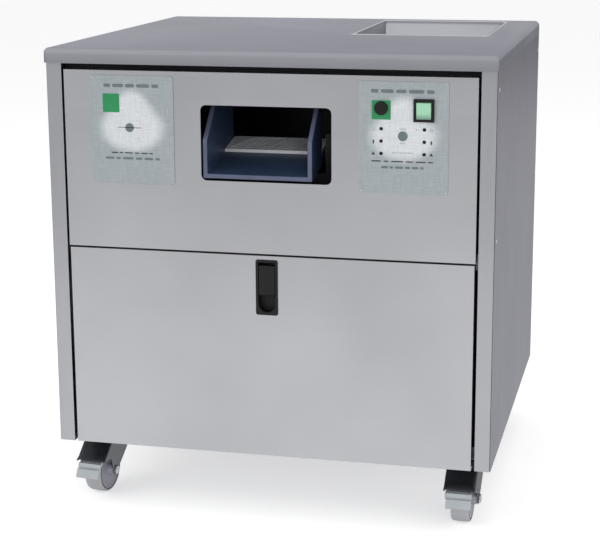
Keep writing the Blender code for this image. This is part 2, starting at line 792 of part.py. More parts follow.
stack(
    "feed_hopper",
    "top",
    [
        (hopper_outline(0), WORKTOP_TOP),
        (hopper_outline(0), WORKTOP_TOP - HOPPER_LIP),
        (throat_outline(0), THROAT_BOTTOM + THROAT_NECK),
        (throat_outline(0), THROAT_BOTTOM),
        (throat_outline(HOPPER_WALL), THROAT_BOTTOM),
        (throat_outline(HOPPER_WALL), THROAT_BOTTOM + THROAT_NECK),
        (hopper_outline(HOPPER_WALL), WORKTOP_TOP - HOPPER_LIP),
        (hopper_outline(HOPPER_WALL), WORKTOP_TOP),
    ],
    SATIN_STEEL,
    closed=True,
)

# Door: a folded sheet on two pins at its foot, with the latch at the middle of its upper edge
DOOR_SIDE_GAP = 0.0050
DOOR_HALF = FRAME_INSIDE - DOOR_SIDE_GAP
DOOR_TOP = SPLIT - SEAM_GAP / 2
LATCH_WIDTH = 0.035
LATCH_DROP = 0.0075
LATCH_HEIGHT = 0.0875
LATCH_TOP = SPLIT - LATCH_DROP
LATCH_BOTTOM = LATCH_TOP - LATCH_HEIGHT
LATCH_CORNER = 0.003
LATCH_RIM = 0.002
LATCH_STAND = 0.0012
LATCH_DEPTH = 0.016
LATCH_WALL = 0.0040
POCKET_DEPTH = 0.013
POCKET_TOP_RADIUS = 0.0015


def latch_outline(inset, low_radius=LATCH_CORNER, high_radius=LATCH_CORNER):
    half = LATCH_WIDTH / 2 - inset
    return rounded(-half, half, LATCH_BOTTOM + inset, LATCH_TOP - inset, low_radius, high_radius)


lower_door = tray(
    "lower_door",
    "front",
    sheet_outline(DOOR_HALF, FLOOR_OF_BODY, DOOR_TOP),
    sheet_outline(DOOR_HALF, FLOOR_OF_BODY, DOOR_TOP, SHEET),
    FRONT,
    FRONT + SHEET,
    FRONT + PANEL_DEPTH,
    SATIN_STEEL,
    holes=[latch_outline(LATCH_RIM - FIT)],
)
carve(
    lower_door,
    rod(
        "door_pin_hole_cutter",
        DOOR_PIN_RADIUS + FIT,
        -DOOR_HALF - OVERRUN,
        DOOR_HALF + OVERRUN,
        SATIN_STEEL,
        DOOR_AXIS,
        "x",
    ),
)
turn_about(lower_door, DOOR_AXIS)

DOOR_PIN_REACH = 0.006
DOOR_PIN_COLLAR_RADIUS = 0.005
for side, hand in ((-1, "left"), (1, "right")):
    turned(
        f"door_pin_{hand}",
        [
            (0, side * (DOOR_HALF - SHEET - DOOR_PIN_REACH)),
            (DOOR_PIN_RADIUS, side * (DOOR_HALF - SHEET - DOOR_PIN_REACH)),
            (DOOR_PIN_RADIUS, side * (DOOR_HALF + FIT)),
            (DOOR_PIN_COLLAR_RADIUS, side * (DOOR_HALF + FIT)),
            (DOOR_PIN_COLLAR_RADIUS, side * (FRAME_INSIDE - FIT)),
            (DOOR_PIN_RADIUS, side * (FRAME_INSIDE - FIT)),
            (DOOR_PIN_RADIUS, side * (FRAME_INSIDE + DOOR_PIN_DEPTH)),
            (0, side * (FRAME_INSIDE + DOOR_PIN_DEPTH)),
        ],
        ZINC,
        DOOR_AXIS,
        "x",
        SMALL_ROUND_SIDES,
    )

# Latch: a cup set through the door, a paddle on stub pins and a sliding catch behind it
PADDLE_AXIS_SETBACK = 0.0035
PADDLE_AXIS_DROP = 0.0125
PADDLE_REACH = 0.058
PADDLE_AXIS = (0, FRONT + PADDLE_AXIS_SETBACK, LATCH_TOP - PADDLE_AXIS_DROP)
PADDLE_CLEARANCE = 0.0010
PADDLE_BOTTOM = LATCH_TOP - PADDLE_REACH
PADDLE_THICKNESS = 0.003
PADDLE_PIN_RADIUS = 0.0015
PADDLE_PIN_REACH = 0.0018
PADDLE_ABOVE_AXIS = 0.003
PADDLE_LIP = 0.0060
pocket_half = LATCH_WIDTH / 2 - LATCH_WALL

latch_bezel = stack(
    "latch_bezel",
    "front",
    [
        (latch_outline(LATCH_RIM), FRONT + LATCH_DEPTH),
        (latch_outline(LATCH_RIM), FRONT - FIT),
        (latch_outline(0), FRONT - FIT),
        (latch_outline(0), FRONT - LATCH_STAND),
        (latch_outline(LATCH_WALL, pocket_half, POCKET_TOP_RADIUS), FRONT - LATCH_STAND),
        (latch_outline(LATCH_WALL, pocket_half, POCKET_TOP_RADIUS), FRONT + POCKET_DEPTH),
    ],
    BLACK_PLASTIC,
)
carve(
    latch_bezel,
    rod(
        "paddle_pin_hole_cutter",
        PADDLE_PIN_RADIUS + FIT,
        -pocket_half - PADDLE_PIN_REACH - FIT,
        pocket_half + PADDLE_PIN_REACH + FIT,
        BLACK_PLASTIC,
        PADDLE_AXIS,
        "x",
    ),
)
PADDLE_FACE = FRONT - LATCH_STAND + FIT
paddle_half = pocket_half - PADDLE_CLEARANCE
latch_paddle = prism(
    "latch_paddle",
    "side",
    [
        (PADDLE_FACE, PADDLE_AXIS[2] + PADDLE_ABOVE_AXIS),
        (PADDLE_FACE, PADDLE_BOTTOM + PADDLE_THICKNESS),
        (PADDLE_FACE + PADDLE_THICKNESS, PADDLE_BOTTOM),
        (PADDLE_FACE + PADDLE_LIP, PADDLE_BOTTOM),
        (PADDLE_FACE + PADDLE_LIP, PADDLE_BOTTOM + PADDLE_THICKNESS / 2),
        (PADDLE_FACE + PADDLE_THICKNESS, PADDLE_BOTTOM + 2 * PADDLE_THICKNESS),
        (PADDLE_FACE + PADDLE_THICKNESS, PADDLE_AXIS[2] - 2 * PADDLE_THICKNESS),
        (PADDLE_AXIS[1] + PADDLE_THICKNESS, PADDLE_AXIS[2] - PADDLE_THICKNESS),
        (PADDLE_AXIS[1] + PADDLE_THICKNESS, PADDLE_AXIS[2] + PADDLE_ABOVE_AXIS),
    ],
    -paddle_half,
    paddle_half,
    BLACK_PLASTIC,
)
weld(
    latch_paddle,
    rod(
        "paddle_pin",
        PADDLE_PIN_RADIUS,
        -pocket_half - PADDLE_PIN_REACH,
        pocket_half + PADDLE_PIN_REACH,
        BLACK_PLASTIC,
        PADDLE_AXIS,
        "x",
    ),
)
turn_about(latch_paddle, PADDLE_AXIS)

CATCH_HALF = 0.008
CATCH_THICKNESS = 0.003
CATCH_LENGTH = 0.050
CATCH_CLEARANCE = 0.001
catch_top = RAIL_BOTTOM - CATCH_CLEARANCE
catch_front = FRONT + LATCH_DEPTH + FIT
latch_catch = prism(
    "latch_catch",
    "side",
    [
        (catch_front, catch_top - CATCH_LENGTH),
        (catch_front + CATCH_THICKNESS, catch_top - CATCH_LENGTH),
        (catch_front + CATCH_THICKNESS, catch_top),
        (catch_front + CATCH_THICKNESS / 2, catch_top),
        (catch_front, catch_top - CATCH_THICKNESS / 2),
    ],
    -CATCH_HALF,
    CATCH_HALF,
    ZINC,
)
turn_about(latch_catch, (0, catch_front, catch_top))

# Vibrating unit, from the springs up: mount plate with the motor, heater, bowl, ramp and chute
SPRING_HEIGHT = 0.080
SPRING_RADIUS = 0.0240
SPRING_WIRE_RADIUS = 0.0025
SPRING_TURNS = 5
SPRING_POINTS_A_TURN = 8
PLATE_THICKNESS = 0.006
PLATE_CORNER = 0.020
MOTOR_WALL = 0.008
MOTOR_FLANGE_WIDTH = 0.020
MOTOR_FLANGE = 0.006
MOTOR_DROP = 0.046
MOTOR_RISE = 0.052
MOTOR_END = 0.008
SHAFT_RADIUS = 0.008
CORE_CLEARANCE = 0.004
CORE_SHORT = 0.006
WEIGHT_INSET = 0.010
WEIGHT_THICKNESS = 0.016
WEIGHT_GAP = 0.005
SHAFT_END = 0.004
SPRING_BOTTOM = PAN_TOP + FIT
PLATE_BOTTOM = SPRING_BOTTOM + SPRING_HEIGHT + FIT
PLATE_TOP = PLATE_BOTTOM + PLATE_THICKNESS
MOTOR_CAVITY_RADIUS = MOTOR_RADIUS - MOTOR_WALL
MOTOR_FLANGE_RADIUS = MOTOR_RADIUS + MOTOR_FLANGE_WIDTH
CORE_RADIUS = MOTOR_CAVITY_RADIUS - CORE_CLEARANCE
WEIGHT_RADIUS = MOTOR_RADIUS - WEIGHT_INSET


def spring_points():
    """Centre line of one spring: a helix that starts and ends a wire radius inside its seats."""
    steps = SPRING_TURNS * SPRING_POINTS_A_TURN
    turns = np.arange(steps + 1) * 2 * math.pi / SPRING_POINTS_A_TURN
    heights = np.linspace(SPRING_WIRE_RADIUS, SPRING_HEIGHT - SPRING_WIRE_RADIUS, steps + 1)
    return np.column_stack([SPRING_RADIUS * np.cos(turns), SPRING_RADIUS * np.sin(turns), heights])


def least_gap(points, wire_radius, points_a_turn):
    """The least clear gap between one turn of a tube and the next, from its centre line's points."""
    reach = points_a_turn // 2
    gaps = []
    for index in range(len(points) - points_a_turn // 2 - 1):
        others = points[index + reach + 1 :]
        gaps.append(np.linalg.norm(others - points[index], axis=1).min())
    return min(gaps) - 2 * wire_radius


coil = spring_points()
print(f"least gap between spring turns: {least_gap(coil, SPRING_WIRE_RADIUS, SPRING_POINTS_A_TURN):.4f} m")
for place, (across, along) in SPRING_PLACES.items():
    curve = bpy.data.curves.new(f"spring_{place}", "CURVE")
    curve.dimensions = "3D"
    curve.bevel_depth = SPRING_WIRE_RADIUS
    curve.bevel_resolution = 1
    curve.use_fill_caps = True
    line = curve.splines.new("POLY")
    line.points.add(len(coil) - 1)
    for point, (x, y, z) in zip(line.points, coil):
        point.co = (across + x, along + y, SPRING_BOTTOM + z, 1)
    curve.materials.append(SPRING_STEEL)
    spring = bpy.data.objects.new(f"spring_{place}", curve)
    bpy.context.scene.collection.objects.link(spring)

mount_plate = prism(
    "motor_mount_plate",
    "top",
    rounded(
        BOWL_CENTRE[0] - PLATE_HALF,
        BOWL_CENTRE[0] + PLATE_HALF,
        BOWL_CENTRE[1] - PLATE_HALF,
        BOWL_CENTRE[1] + PLATE_HALF,
        PLATE_CORNER,
    ),
    PLATE_BOTTOM,
    PLATE_TOP,
    SATIN_STEEL,
    holes=[circle(*BOWL_CENTRE, MOTOR_RADIUS + FIT, ROUND_SIDES)],
)
for place, (across, along) in SPRING_PLACES.items():
    weld(
        mount_plate,
        rod(
            f"plate_boss_{place}",
            SPRING_BOSS_RADIUS,
            PLATE_BOTTOM - SPRING_BOSS_HEIGHT,
            PLATE_BOTTOM + PLATE_THICKNESS / 2,
            SATIN_STEEL,
            (across, along, 0),
        ),
    )

bowl_axis = (*BOWL_CENTRE, 0)
motor_top = PLATE_TOP + MOTOR_RISE
motor_bottom = PLATE_TOP - MOTOR_DROP
turned(
    "motor_housing",
    [
        (SHAFT_RADIUS + FIT, motor_top),
        (MOTOR_RADIUS, motor_top),
        (MOTOR_RADIUS, PLATE_TOP + FIT + MOTOR_FLANGE),
        (MOTOR_FLANGE_RADIUS, PLATE_TOP + FIT + MOTOR_FLANGE),
        (MOTOR_FLANGE_RADIUS, PLATE_TOP + FIT),
        (MOTOR_RADIUS, PLATE_TOP + FIT),
        (MOTOR_RADIUS, motor_bottom),
        (SHAFT_RADIUS + FIT, motor_bottom),
        (SHAFT_RADIUS + FIT, motor_bottom + MOTOR_END),
        (MOTOR_CAVITY_RADIUS, motor_bottom + MOTOR_END),
        (MOTOR_CAVITY_RADIUS, motor_top - MOTOR_END),
        (SHAFT_RADIUS + FIT, motor_top - MOTOR_END),
    ],
    MOTOR_PAINT,
    bowl_axis,
    ring=True,
)
core_low = motor_bottom + MOTOR_END + CORE_SHORT
core_high = motor_top - MOTOR_END - CORE_SHORT
shaft_low = motor_bottom - WEIGHT_GAP - WEIGHT_THICKNESS - SHAFT_END
shaft_high = motor_top + WEIGHT_GAP + WEIGHT_THICKNESS + SHAFT_END
motor_rotor = turned(
    "motor_rotor",
    [
        (0, shaft_low),
        (SHAFT_RADIUS, shaft_low),
        (SHAFT_RADIUS, core_low),
        (CORE_RADIUS, core_low),
        (CORE_RADIUS, core_high),
        (SHAFT_RADIUS, core_high),
        (SHAFT_RADIUS, shaft_high),
        (0, shaft_high),
    ],
    MOTOR_PAINT,
    bowl_axis,
)


def weight_outline():
    """A half disc of the eccentric weight, with a short straight side behind the shaft."""
    steps = SMALL_ROUND_SIDES
    turns = [math.pi * step / steps for step in range(steps + 1)]
    half_disc = [
        (
            BOWL_CENTRE[0] + WEIGHT_RADIUS * math.cos(turn),
            BOWL_CENTRE[1] + WEIGHT_RADIUS * math.sin(turn),
        )
        for turn in turns
    ]
    behind = BOWL_CENTRE[1] - 2 * SHAFT_RADIUS
    return [
        *half_disc,
        (BOWL_CENTRE[0] - 2 * SHAFT_RADIUS, behind),
        (BOWL_CENTRE[0] + 2 * SHAFT_RADIUS, behind),
    ]


weld(
    motor_rotor,
    prism(
        "upper_weight",
        "top",
        weight_outline(),
        motor_top + WEIGHT_GAP,
        motor_top + WEIGHT_GAP + WEIGHT_THICKNESS,
        MOTOR_PAINT,
    ),
    prism(
        "lower_weight",
        "top",
        weight_outline(),
        motor_bottom - WEIGHT_GAP - WEIGHT_THICKNESS,
        motor_bottom - WEIGHT_GAP,
        MOTOR_PAINT,
    ),
)
turn_about(motor_rotor, (*BOWL_CENTRE, shaft_low))

# Bowl: a turned ring trough on a skirt, with a hollow hub over the motor
BOWL_SIDES = 32
BOWL_BEND_HEIGHT = 0.056
SKIRT_HEIGHT = 0.0921
HUB_HEIGHT = 0.144
skirt_bottom = PLATE_TOP + FIT
bowl_bottom = skirt_bottom + SKIRT_HEIGHT
BOWL_FLOOR = bowl_bottom + BOWL_WALL
HUB_TOP = BOWL_FLOOR + HUB_HEIGHT
inner_wall = [
    (BEND_START, BOWL_FLOOR),
    (BEND_START + BOWL_BEND_WIDTH * 2 / 3, BOWL_FLOOR + BOWL_BEND_HEIGHT / 3),
    (BOWL_RADIUS - BOWL_WALL, BOWL_FLOOR + BOWL_BEND_HEIGHT),
]
polishing_bowl = turned(
    "polishing_bowl",
    [
        (BOWL_RADIUS, BOWL_RIM),
        (BOWL_RADIUS, BOWL_FLOOR + BOWL_BEND_HEIGHT),
        (BEND_START + BOWL_BEND_WIDTH * 2 / 3 + BOWL_WALL, bowl_bottom + BOWL_BEND_HEIGHT / 3),
        (BEND_START + BOWL_WALL, bowl_bottom),
        (SKIRT_RADIUS, bowl_bottom),
        (SKIRT_RADIUS, skirt_bottom),
        (SKIRT_RADIUS - SKIRT_WALL, skirt_bottom),
        (SKIRT_RADIUS - SKIRT_WALL, bowl_bottom),
        (HUB_RADIUS - BOWL_WALL + HUB_BEND, bowl_bottom),
        (HUB_RADIUS - BOWL_WALL, bowl_bottom + HUB_BEND),
        (HUB_RADIUS - BOWL_WALL, HUB_TOP),
        (HUB_RADIUS, HUB_TOP),
        (HUB_RADIUS, BOWL_FLOOR + HUB_BEND),
        (HUB_RADIUS + HUB_BEND, BOWL_FLOOR),
        *inner_wall,
        (BOWL_RADIUS - BOWL_WALL, BOWL_RIM),
    ],
    SATIN_STEEL,
    bowl_axis,
    sides=BOWL_SIDES,
    ring=True,
)

CAP_HEIGHT = 0.055
CAP_EDGE = 0.014
CAP_PROUD = 0.003
turned(
    "hub_cap",
    [
        (0, HUB_TOP + FIT),
        (HUB_RADIUS + CAP_PROUD, HUB_TOP + FIT),
        (HUB_RADIUS + CAP_PROUD, HUB_TOP + FIT + CAP_EDGE),
        (HUB_RADIUS * 2 / 3, HUB_TOP + CAP_HEIGHT * 3 / 4),
        (HUB_RADIUS / 3, HUB_TOP + CAP_HEIGHT),
        (0, HUB_TOP + CAP_HEIGHT),
    ],
    BLUE_PLASTIC,
    bowl_axis,
)

HEATER_HEIGHT = 0.016
turned(
    "heater_ring",
    [
        (HEATER_OUTER, bowl_bottom - FIT),
        (HEATER_OUTER, bowl_bottom - FIT - HEATER_HEIGHT),
        (HEATER_INNER, bowl_bottom - FIT - HEATER_HEIGHT),
        (HEATER_INNER, bowl_bottom - FIT),
    ],
    DARK_STEEL,
    bowl_axis,
    ring=True,
)

# Discharge chute: a moulded channel that slopes down from the bowl to the front opening
CHUTE_MIDDLE = -0.0145
CHUTE_WIDTH = 0.172
CHUTE_WALL = 0.0075
CHUTE_SETBACK = 0.0035
CHUTE_SLOPE_SHARE = 0.194
CHUTE_INSIDE_BOWL = 0.0195
CHUTE_BEFORE_BOWL = 0.0125
CHUTE_LEFT_BEYOND = 0.050
CHUTE_LENGTH = FRONT_ROOM - CHUTE_SETBACK + CHUTE_INSIDE_BOWL
CHUTE_FRONT_HEIGHT = 0.060
CHUTE_LEAN = 0.047
CHUTE_WALL_TOP = CHUTE_LIP + CHUTE_FRONT_HEIGHT + CHUTE_LEAN
CHUTE_LEFT_LENGTH = CHUTE_LENGTH + CHUTE_LEFT_BEYOND
CHUTE_RIGHT_LENGTH = FRONT_ROOM - CHUTE_SETBACK - CHUTE_BEFORE_BOWL
NOTCH_CLEARANCE = 0.002
chute_front = FRONT + CHUTE_SETBACK
chute_left = CHUTE_MIDDLE - CHUTE_WIDTH / 2
chute_right = CHUTE_MIDDLE + CHUTE_WIDTH / 2


def chute_floor(along):
    """Height of the underside of the chute at a distance behind its lip."""
    return CHUTE_LIP + CHUTE_SLOPE_SHARE * along


def chute_side(length):
    return [
        (chute_front, CHUTE_LIP),
        (chute_front + length, chute_floor(length)),
        (chute_front + length, CHUTE_WALL_TOP),
        (chute_front + CHUTE_LEAN, CHUTE_WALL_TOP),
        (chute_front, CHUTE_LIP + CHUTE_FRONT_HEIGHT),
    ]


discharge_chute = prism(
    "discharge_chute",
    "side",
    [
        (chute_front, CHUTE_LIP),
        (chute_front + CHUTE_LENGTH, chute_floor(CHUTE_LENGTH)),
        (chute_front + CHUTE_LENGTH, chute_floor(CHUTE_LENGTH) + CHUTE_WALL),
        (chute_front, CHUTE_LIP + CHUTE_WALL),
    ],
    chute_left + CHUTE_WALL / 2,
    chute_right - CHUTE_WALL / 2,
    BLUE_PLASTIC,
)
weld(
    discharge_chute,
    prism(
        "chute_left_wall",
        "side",
        chute_side(CHUTE_LEFT_LENGTH),
        chute_left,
        chute_left + CHUTE_WALL,
        BLUE_PLASTIC,
    ),
    prism(
        "chute_right_wall",
        "side",
        chute_side(CHUTE_RIGHT_LENGTH),
        chute_right - CHUTE_WALL,
        chute_right,
        BLUE_PLASTIC,
    ),
)
carve(
    polishing_bowl,
    prism(
        "bowl_notch_cutter",
        "side",
        [
            (BOWL_CENTRE[1] - BOWL_RADIUS - OVERRUN, chute_floor(0) - NOTCH_CLEARANCE),
            (chute_front + CHUTE_LEFT_LENGTH, chute_floor(0) - NOTCH_CLEARANCE),
            (chute_front + CHUTE_LEFT_LENGTH, BOWL_RIM + OVERRUN),
            (BOWL_CENTRE[1] - BOWL_RADIUS - OVERRUN, BOWL_RIM + OVERRUN),
        ],
        chute_left - FIT,
        chute_right + FIT,
        SATIN_STEEL,
    ),
)

# Separating grid: slanting slots let the granulate fall back before the cutlery reaches the chute
GRID_LENGTH = 0.060
GRID_THICKNESS = 0.005
GRID_EDGE = 0.005
GRID_SLOTS = 12
GRID_SLOT_SHARE = 0.45
GRID_SLANT = 0.030
GRID_OVERLAP = 0.004
grid_left = chute_left + CHUTE_WALL + FIT
grid_right = chute_right - CHUTE_WALL - FIT
grid_front = chute_front + CHUTE_LENGTH - GRID_OVERLAP
grid_pitch = (grid_right - grid_left - GRID_SLANT - 2 * GRID_EDGE) / GRID_SLOTS
slots = []
for slot in range(GRID_SLOTS):
    left = grid_left + GRID_EDGE + slot * grid_pitch
    slots.append(
        [
            (left, grid_front + GRID_EDGE),
            (left + GRID_SLOT_SHARE * grid_pitch, grid_front + GRID_EDGE),
            (left + GRID_SLANT + GRID_SLOT_SHARE * grid_pitch, grid_front + GRID_LENGTH - GRID_EDGE),
            (left + GRID_SLANT, grid_front + GRID_LENGTH - GRID_EDGE),
        ]
    )
separating_grid = prism(
    "separating_grid",
    "top",
    rectangle(grid_left, grid_right, grid_front, grid_front + GRID_LENGTH),
    0,
    GRID_THICKNESS,
    SATIN_STEEL,
    holes=slots,
)
for corner in separating_grid.data.vertices:
    corner.co.z += chute_floor(corner.co.y - chute_front) + CHUTE_WALL + FIT

# Spiral ramp: a strip that climbs clockwise from the trough to the grid against the bowl's wall
RAMP_TURNS = 1.25
RAMP_STEPS = 44
RAMP_WIDTH = 0.078
RAMP_THICKNESS = 0.004
RAMP_FOOT = 0.024
RAMP_ABOVE_LIP = 0.022
RAMP_INNER = BOWL_RADIUS - BOWL_WALL - RAMP_WIDTH
RAMP_START = BOWL_FLOOR + RAMP_FOOT
RAMP_END = CHUTE_LIP + RAMP_ABOVE_LIP
RAMP_END_ANGLE = math.radians(-60)

wall_heights = [height for _, height in inner_wall]
wall_radii = [radius for radius, _ in inner_wall]
shares = np.linspace(0, 1, RAMP_STEPS + 1)
angles = RAMP_END_ANGLE + (1 - shares) * RAMP_TURNS * 2 * math.pi
heights = RAMP_START + shares * (RAMP_END - RAMP_START)
facet = math.cos(math.pi / BOWL_SIDES)
outer = np.interp(heights, wall_heights, wall_radii) * facet - FIT
points = []
for angle, height, reach in zip(angles, heights, outer):
    for radius, level in ((RAMP_INNER, 0), (reach, 0), (reach, RAMP_THICKNESS), (RAMP_INNER, RAMP_THICKNESS)):
        points.append(
            (
                BOWL_CENTRE[0] + radius * math.cos(angle),
                BOWL_CENTRE[1] + radius * math.sin(angle),
                height + level,
            )
        )
faces = []
for step in range(RAMP_STEPS):
    for corner in range(4):
        other = (corner + 1) % 4
        faces.append((4 * step + corner, 4 * step + other, 4 * step + 4 + other, 4 * step + 4 + corner))
faces.append((0, 1, 2, 3))
faces.append(tuple(4 * RAMP_STEPS + corner for corner in range(4)))
solid("spiral_ramp", points, faces, SATIN_STEEL)

# Drain: a short spout under the trough, closed by a plate that a lever swings aside
DRAIN_LENGTH = 0.060
EAR_THICKNESS = 0.006
EAR_RISE = 0.010
VALVE_THICKNESS = 0.003
VALVE_PIN_RADIUS = 0.004
VALVE_HEAD = 0.003
VALVE_HEAD_RADIUS = 0.007
ARM_SETBACK = 0.0003
VALVE_REACH = 0.042
LEVER_LENGTH = 0.078
LEVER_WIDTH = 0.010
drain_y = BOWL_CENTRE[1] - DRAIN_REACH
drain_axis = (BOWL_CENTRE[0], drain_y, 0)
drain_top = bowl_bottom - FIT
drain_bottom = drain_top - DRAIN_LENGTH
carve(
    polishing_bowl,
    rod(
        "drain_hole_cutter",
        DRAIN_RADIUS,
        bowl_bottom - OVERRUN,
        BOWL_FLOOR + OVERRUN,
        SATIN_STEEL,
        drain_axis,
    ),
)
drain_spout = turned(
    "drain_spout",
    [
        (DRAIN_RADIUS, drain_top),
        (DRAIN_FLANGE_RADIUS, drain_top),
        (DRAIN_FLANGE_RADIUS, drain_top - DRAIN_WALL),
        (DRAIN_RADIUS + DRAIN_WALL, drain_top - DRAIN_WALL),
        (DRAIN_RADIUS + DRAIN_WALL, drain_bottom),
        (DRAIN_RADIUS, drain_bottom),
    ],
    SATIN_STEEL,
    drain_axis,
    sides=SMALL_ROUND_SIDES,
    ring=True,
)
valve_axis = (drain_axis[0] + VALVE_REACH, drain_y, 0)
valve_top = drain_bottom - FIT
valve_bottom = valve_top - VALVE_THICKNESS
weld(
    drain_spout,
    box(
        "drain_ear",
        (drain_axis[0] + DRAIN_RADIUS + DRAIN_WALL / 2, drain_y - VALVE_HEAD_RADIUS, drain_bottom + EAR_RISE),
        (
            valve_axis[0] + VALVE_HEAD_RADIUS,
            drain_y + VALVE_HEAD_RADIUS,
            drain_bottom + EAR_RISE + EAR_THICKNESS,
        ),
        SATIN_STEEL,
    ),
    turned(
        "valve_pin",
        [
            (0, drain_bottom + EAR_RISE + EAR_THICKNESS / 2),
            (VALVE_PIN_RADIUS, drain_bottom + EAR_RISE + EAR_THICKNESS / 2),
            (VALVE_PIN_RADIUS, valve_bottom - FIT),
            (VALVE_HEAD_RADIUS, valve_bottom - FIT),
            (VALVE_HEAD_RADIUS, valve_bottom - FIT - VALVE_HEAD),
            (0, valve_bottom - FIT - VALVE_HEAD),
        ],
        SATIN_STEEL,
        valve_axis,
        sides=SMALL_ROUND_SIDES,
    ),
)
drain_valve = rod(
    "drain_valve",
    DRAIN_RADIUS + DRAIN_WALL,
    valve_bottom,
    valve_top,
    ZINC,
    drain_axis,
    sides=ROUND_SIDES,
)
weld(
    drain_valve,
    box(
        "valve_arm",
        (drain_axis[0], drain_y - VALVE_HEAD_RADIUS, valve_bottom + ARM_SETBACK),
        (valve_axis[0] + VALVE_HEAD_RADIUS, drain_y + VALVE_HEAD_RADIUS, valve_top - ARM_SETBACK),
        ZINC,
    ),
    box(
        "valve_lever",
        (valve_axis[0] - LEVER_WIDTH / 2, drain_y - LEVER_LENGTH, valve_bottom + 2 * ARM_SETBACK),
        (valve_axis[0] + LEVER_WIDTH / 2, drain_y, valve_top - 2 * ARM_SETBACK),
        ZINC,
    ),
)
carve(
    drain_valve,
    rod(
        "valve_bore_cutter",
        VALVE_PIN_RADIUS + FIT,
        valve_bottom - OVERRUN,
        valve_top + OVERRUN,
        ZINC,
        valve_axis,
    ),
)
turn_about(drain_valve, (valve_axis[0], valve_axis[1], valve_bottom))

# Castors: a fixed plate with its kingpin, a folded fork, a wheel on a bolt and a brake pedal at the front
CASTOR_INSET_SIDE = 0.049
CASTOR_INSET_FRONT = 0.097
CASTOR_INSET_REAR = 0.080
CASTOR_REST_TURNS = {"fl": -7, "fr": -1, "rl": 6, "rr": -4}
CASTOR_PLATE_HALF = 0.030
CASTOR_PLATE = 0.003
CASTOR_CUP_RADIUS = 0.023
CASTOR_CUP = 0.006
KINGPIN_RADIUS = 0.005
KINGPIN_HEAD_RADIUS = 0.008
KINGPIN_HEAD = 0.003
WHEEL_RADIUS = 0.0375
WHEEL_WIDTH = 0.031
WHEEL_CROWN = 0.004
WHEEL_HUB_RADIUS = 0.026
WHEEL_DISH = 0.003
TRAIL = 0.030
AXLE_RADIUS = 0.004
FORK_SHEET = 0.0025
FORK_GAP = 0.0075
FORK_REAR = 0.036
FORK_FRONT = 0.036
FORK_BOSS = 0.009
FORK_LIP = (-0.072, 0.0645)
FORK_LIP_DEPTH = 0.003
AXLE_HEAD_RADIUS = 0.0075
AXLE_HEAD = 0.003
PEDAL_WIDTH = 0.039
PEDAL_SHEET = 0.0025
PEDAL_AXIS = (0, -0.0575, 0.0690)
PEDAL_HUB_RADIUS = 0.003
PEDAL_FOOT = (-0.0850, 0.0375)
PEDAL_KNEE = (-0.0785, 0.0490)

plate_top = CASTOR_HEIGHT - FIT
cup_top = plate_top - CASTOR_PLATE
cup_bottom = cup_top - CASTOR_CUP
web_top = cup_bottom - FIT
web_bottom = web_top - FORK_SHEET
fork_inner = WHEEL_WIDTH / 2 + FORK_GAP
fork_outer = fork_inner + FORK_SHEET
axle_y = -TRAIL

fork_side = [
    (FORK_REAR, web_top),
    (-FORK_FRONT, web_top),
    FORK_LIP,
    (FORK_LIP[0], FORK_LIP[1] - FORK_LIP_DEPTH),
    (PEDAL_AXIS[1] - PEDAL_HUB_RADIUS, PEDAL_AXIS[2] - FORK_BOSS),
    (axle_y - FORK_BOSS * 3 / 2, WHEEL_RADIUS + FORK_BOSS * 5 / 2),
    (axle_y - FORK_BOSS, WHEEL_RADIUS + FORK_BOSS / 2),
    (axle_y - FORK_BOSS, WHEEL_RADIUS - FORK_BOSS / 2),
    (axle_y - FORK_BOSS / 2, WHEEL_RADIUS - FORK_BOSS),
    (axle_y + FORK_BOSS / 2, WHEEL_RADIUS - FORK_BOSS),
    (axle_y + FORK_BOSS, WHEEL_RADIUS),
    (FORK_REAR, web_bottom - FORK_BOSS),
]
fork_space = [
    (FORK_REAR + OVERRUN, web_bottom),
    (-FORK_FRONT + FORK_SHEET / 2, web_bottom),
    (FORK_LIP[0] + FORK_SHEET, FORK_LIP[1] - FORK_SHEET / 2),
    (FORK_LIP[0] + FORK_SHEET, 0),
    (FORK_REAR + OVERRUN, 0),
]

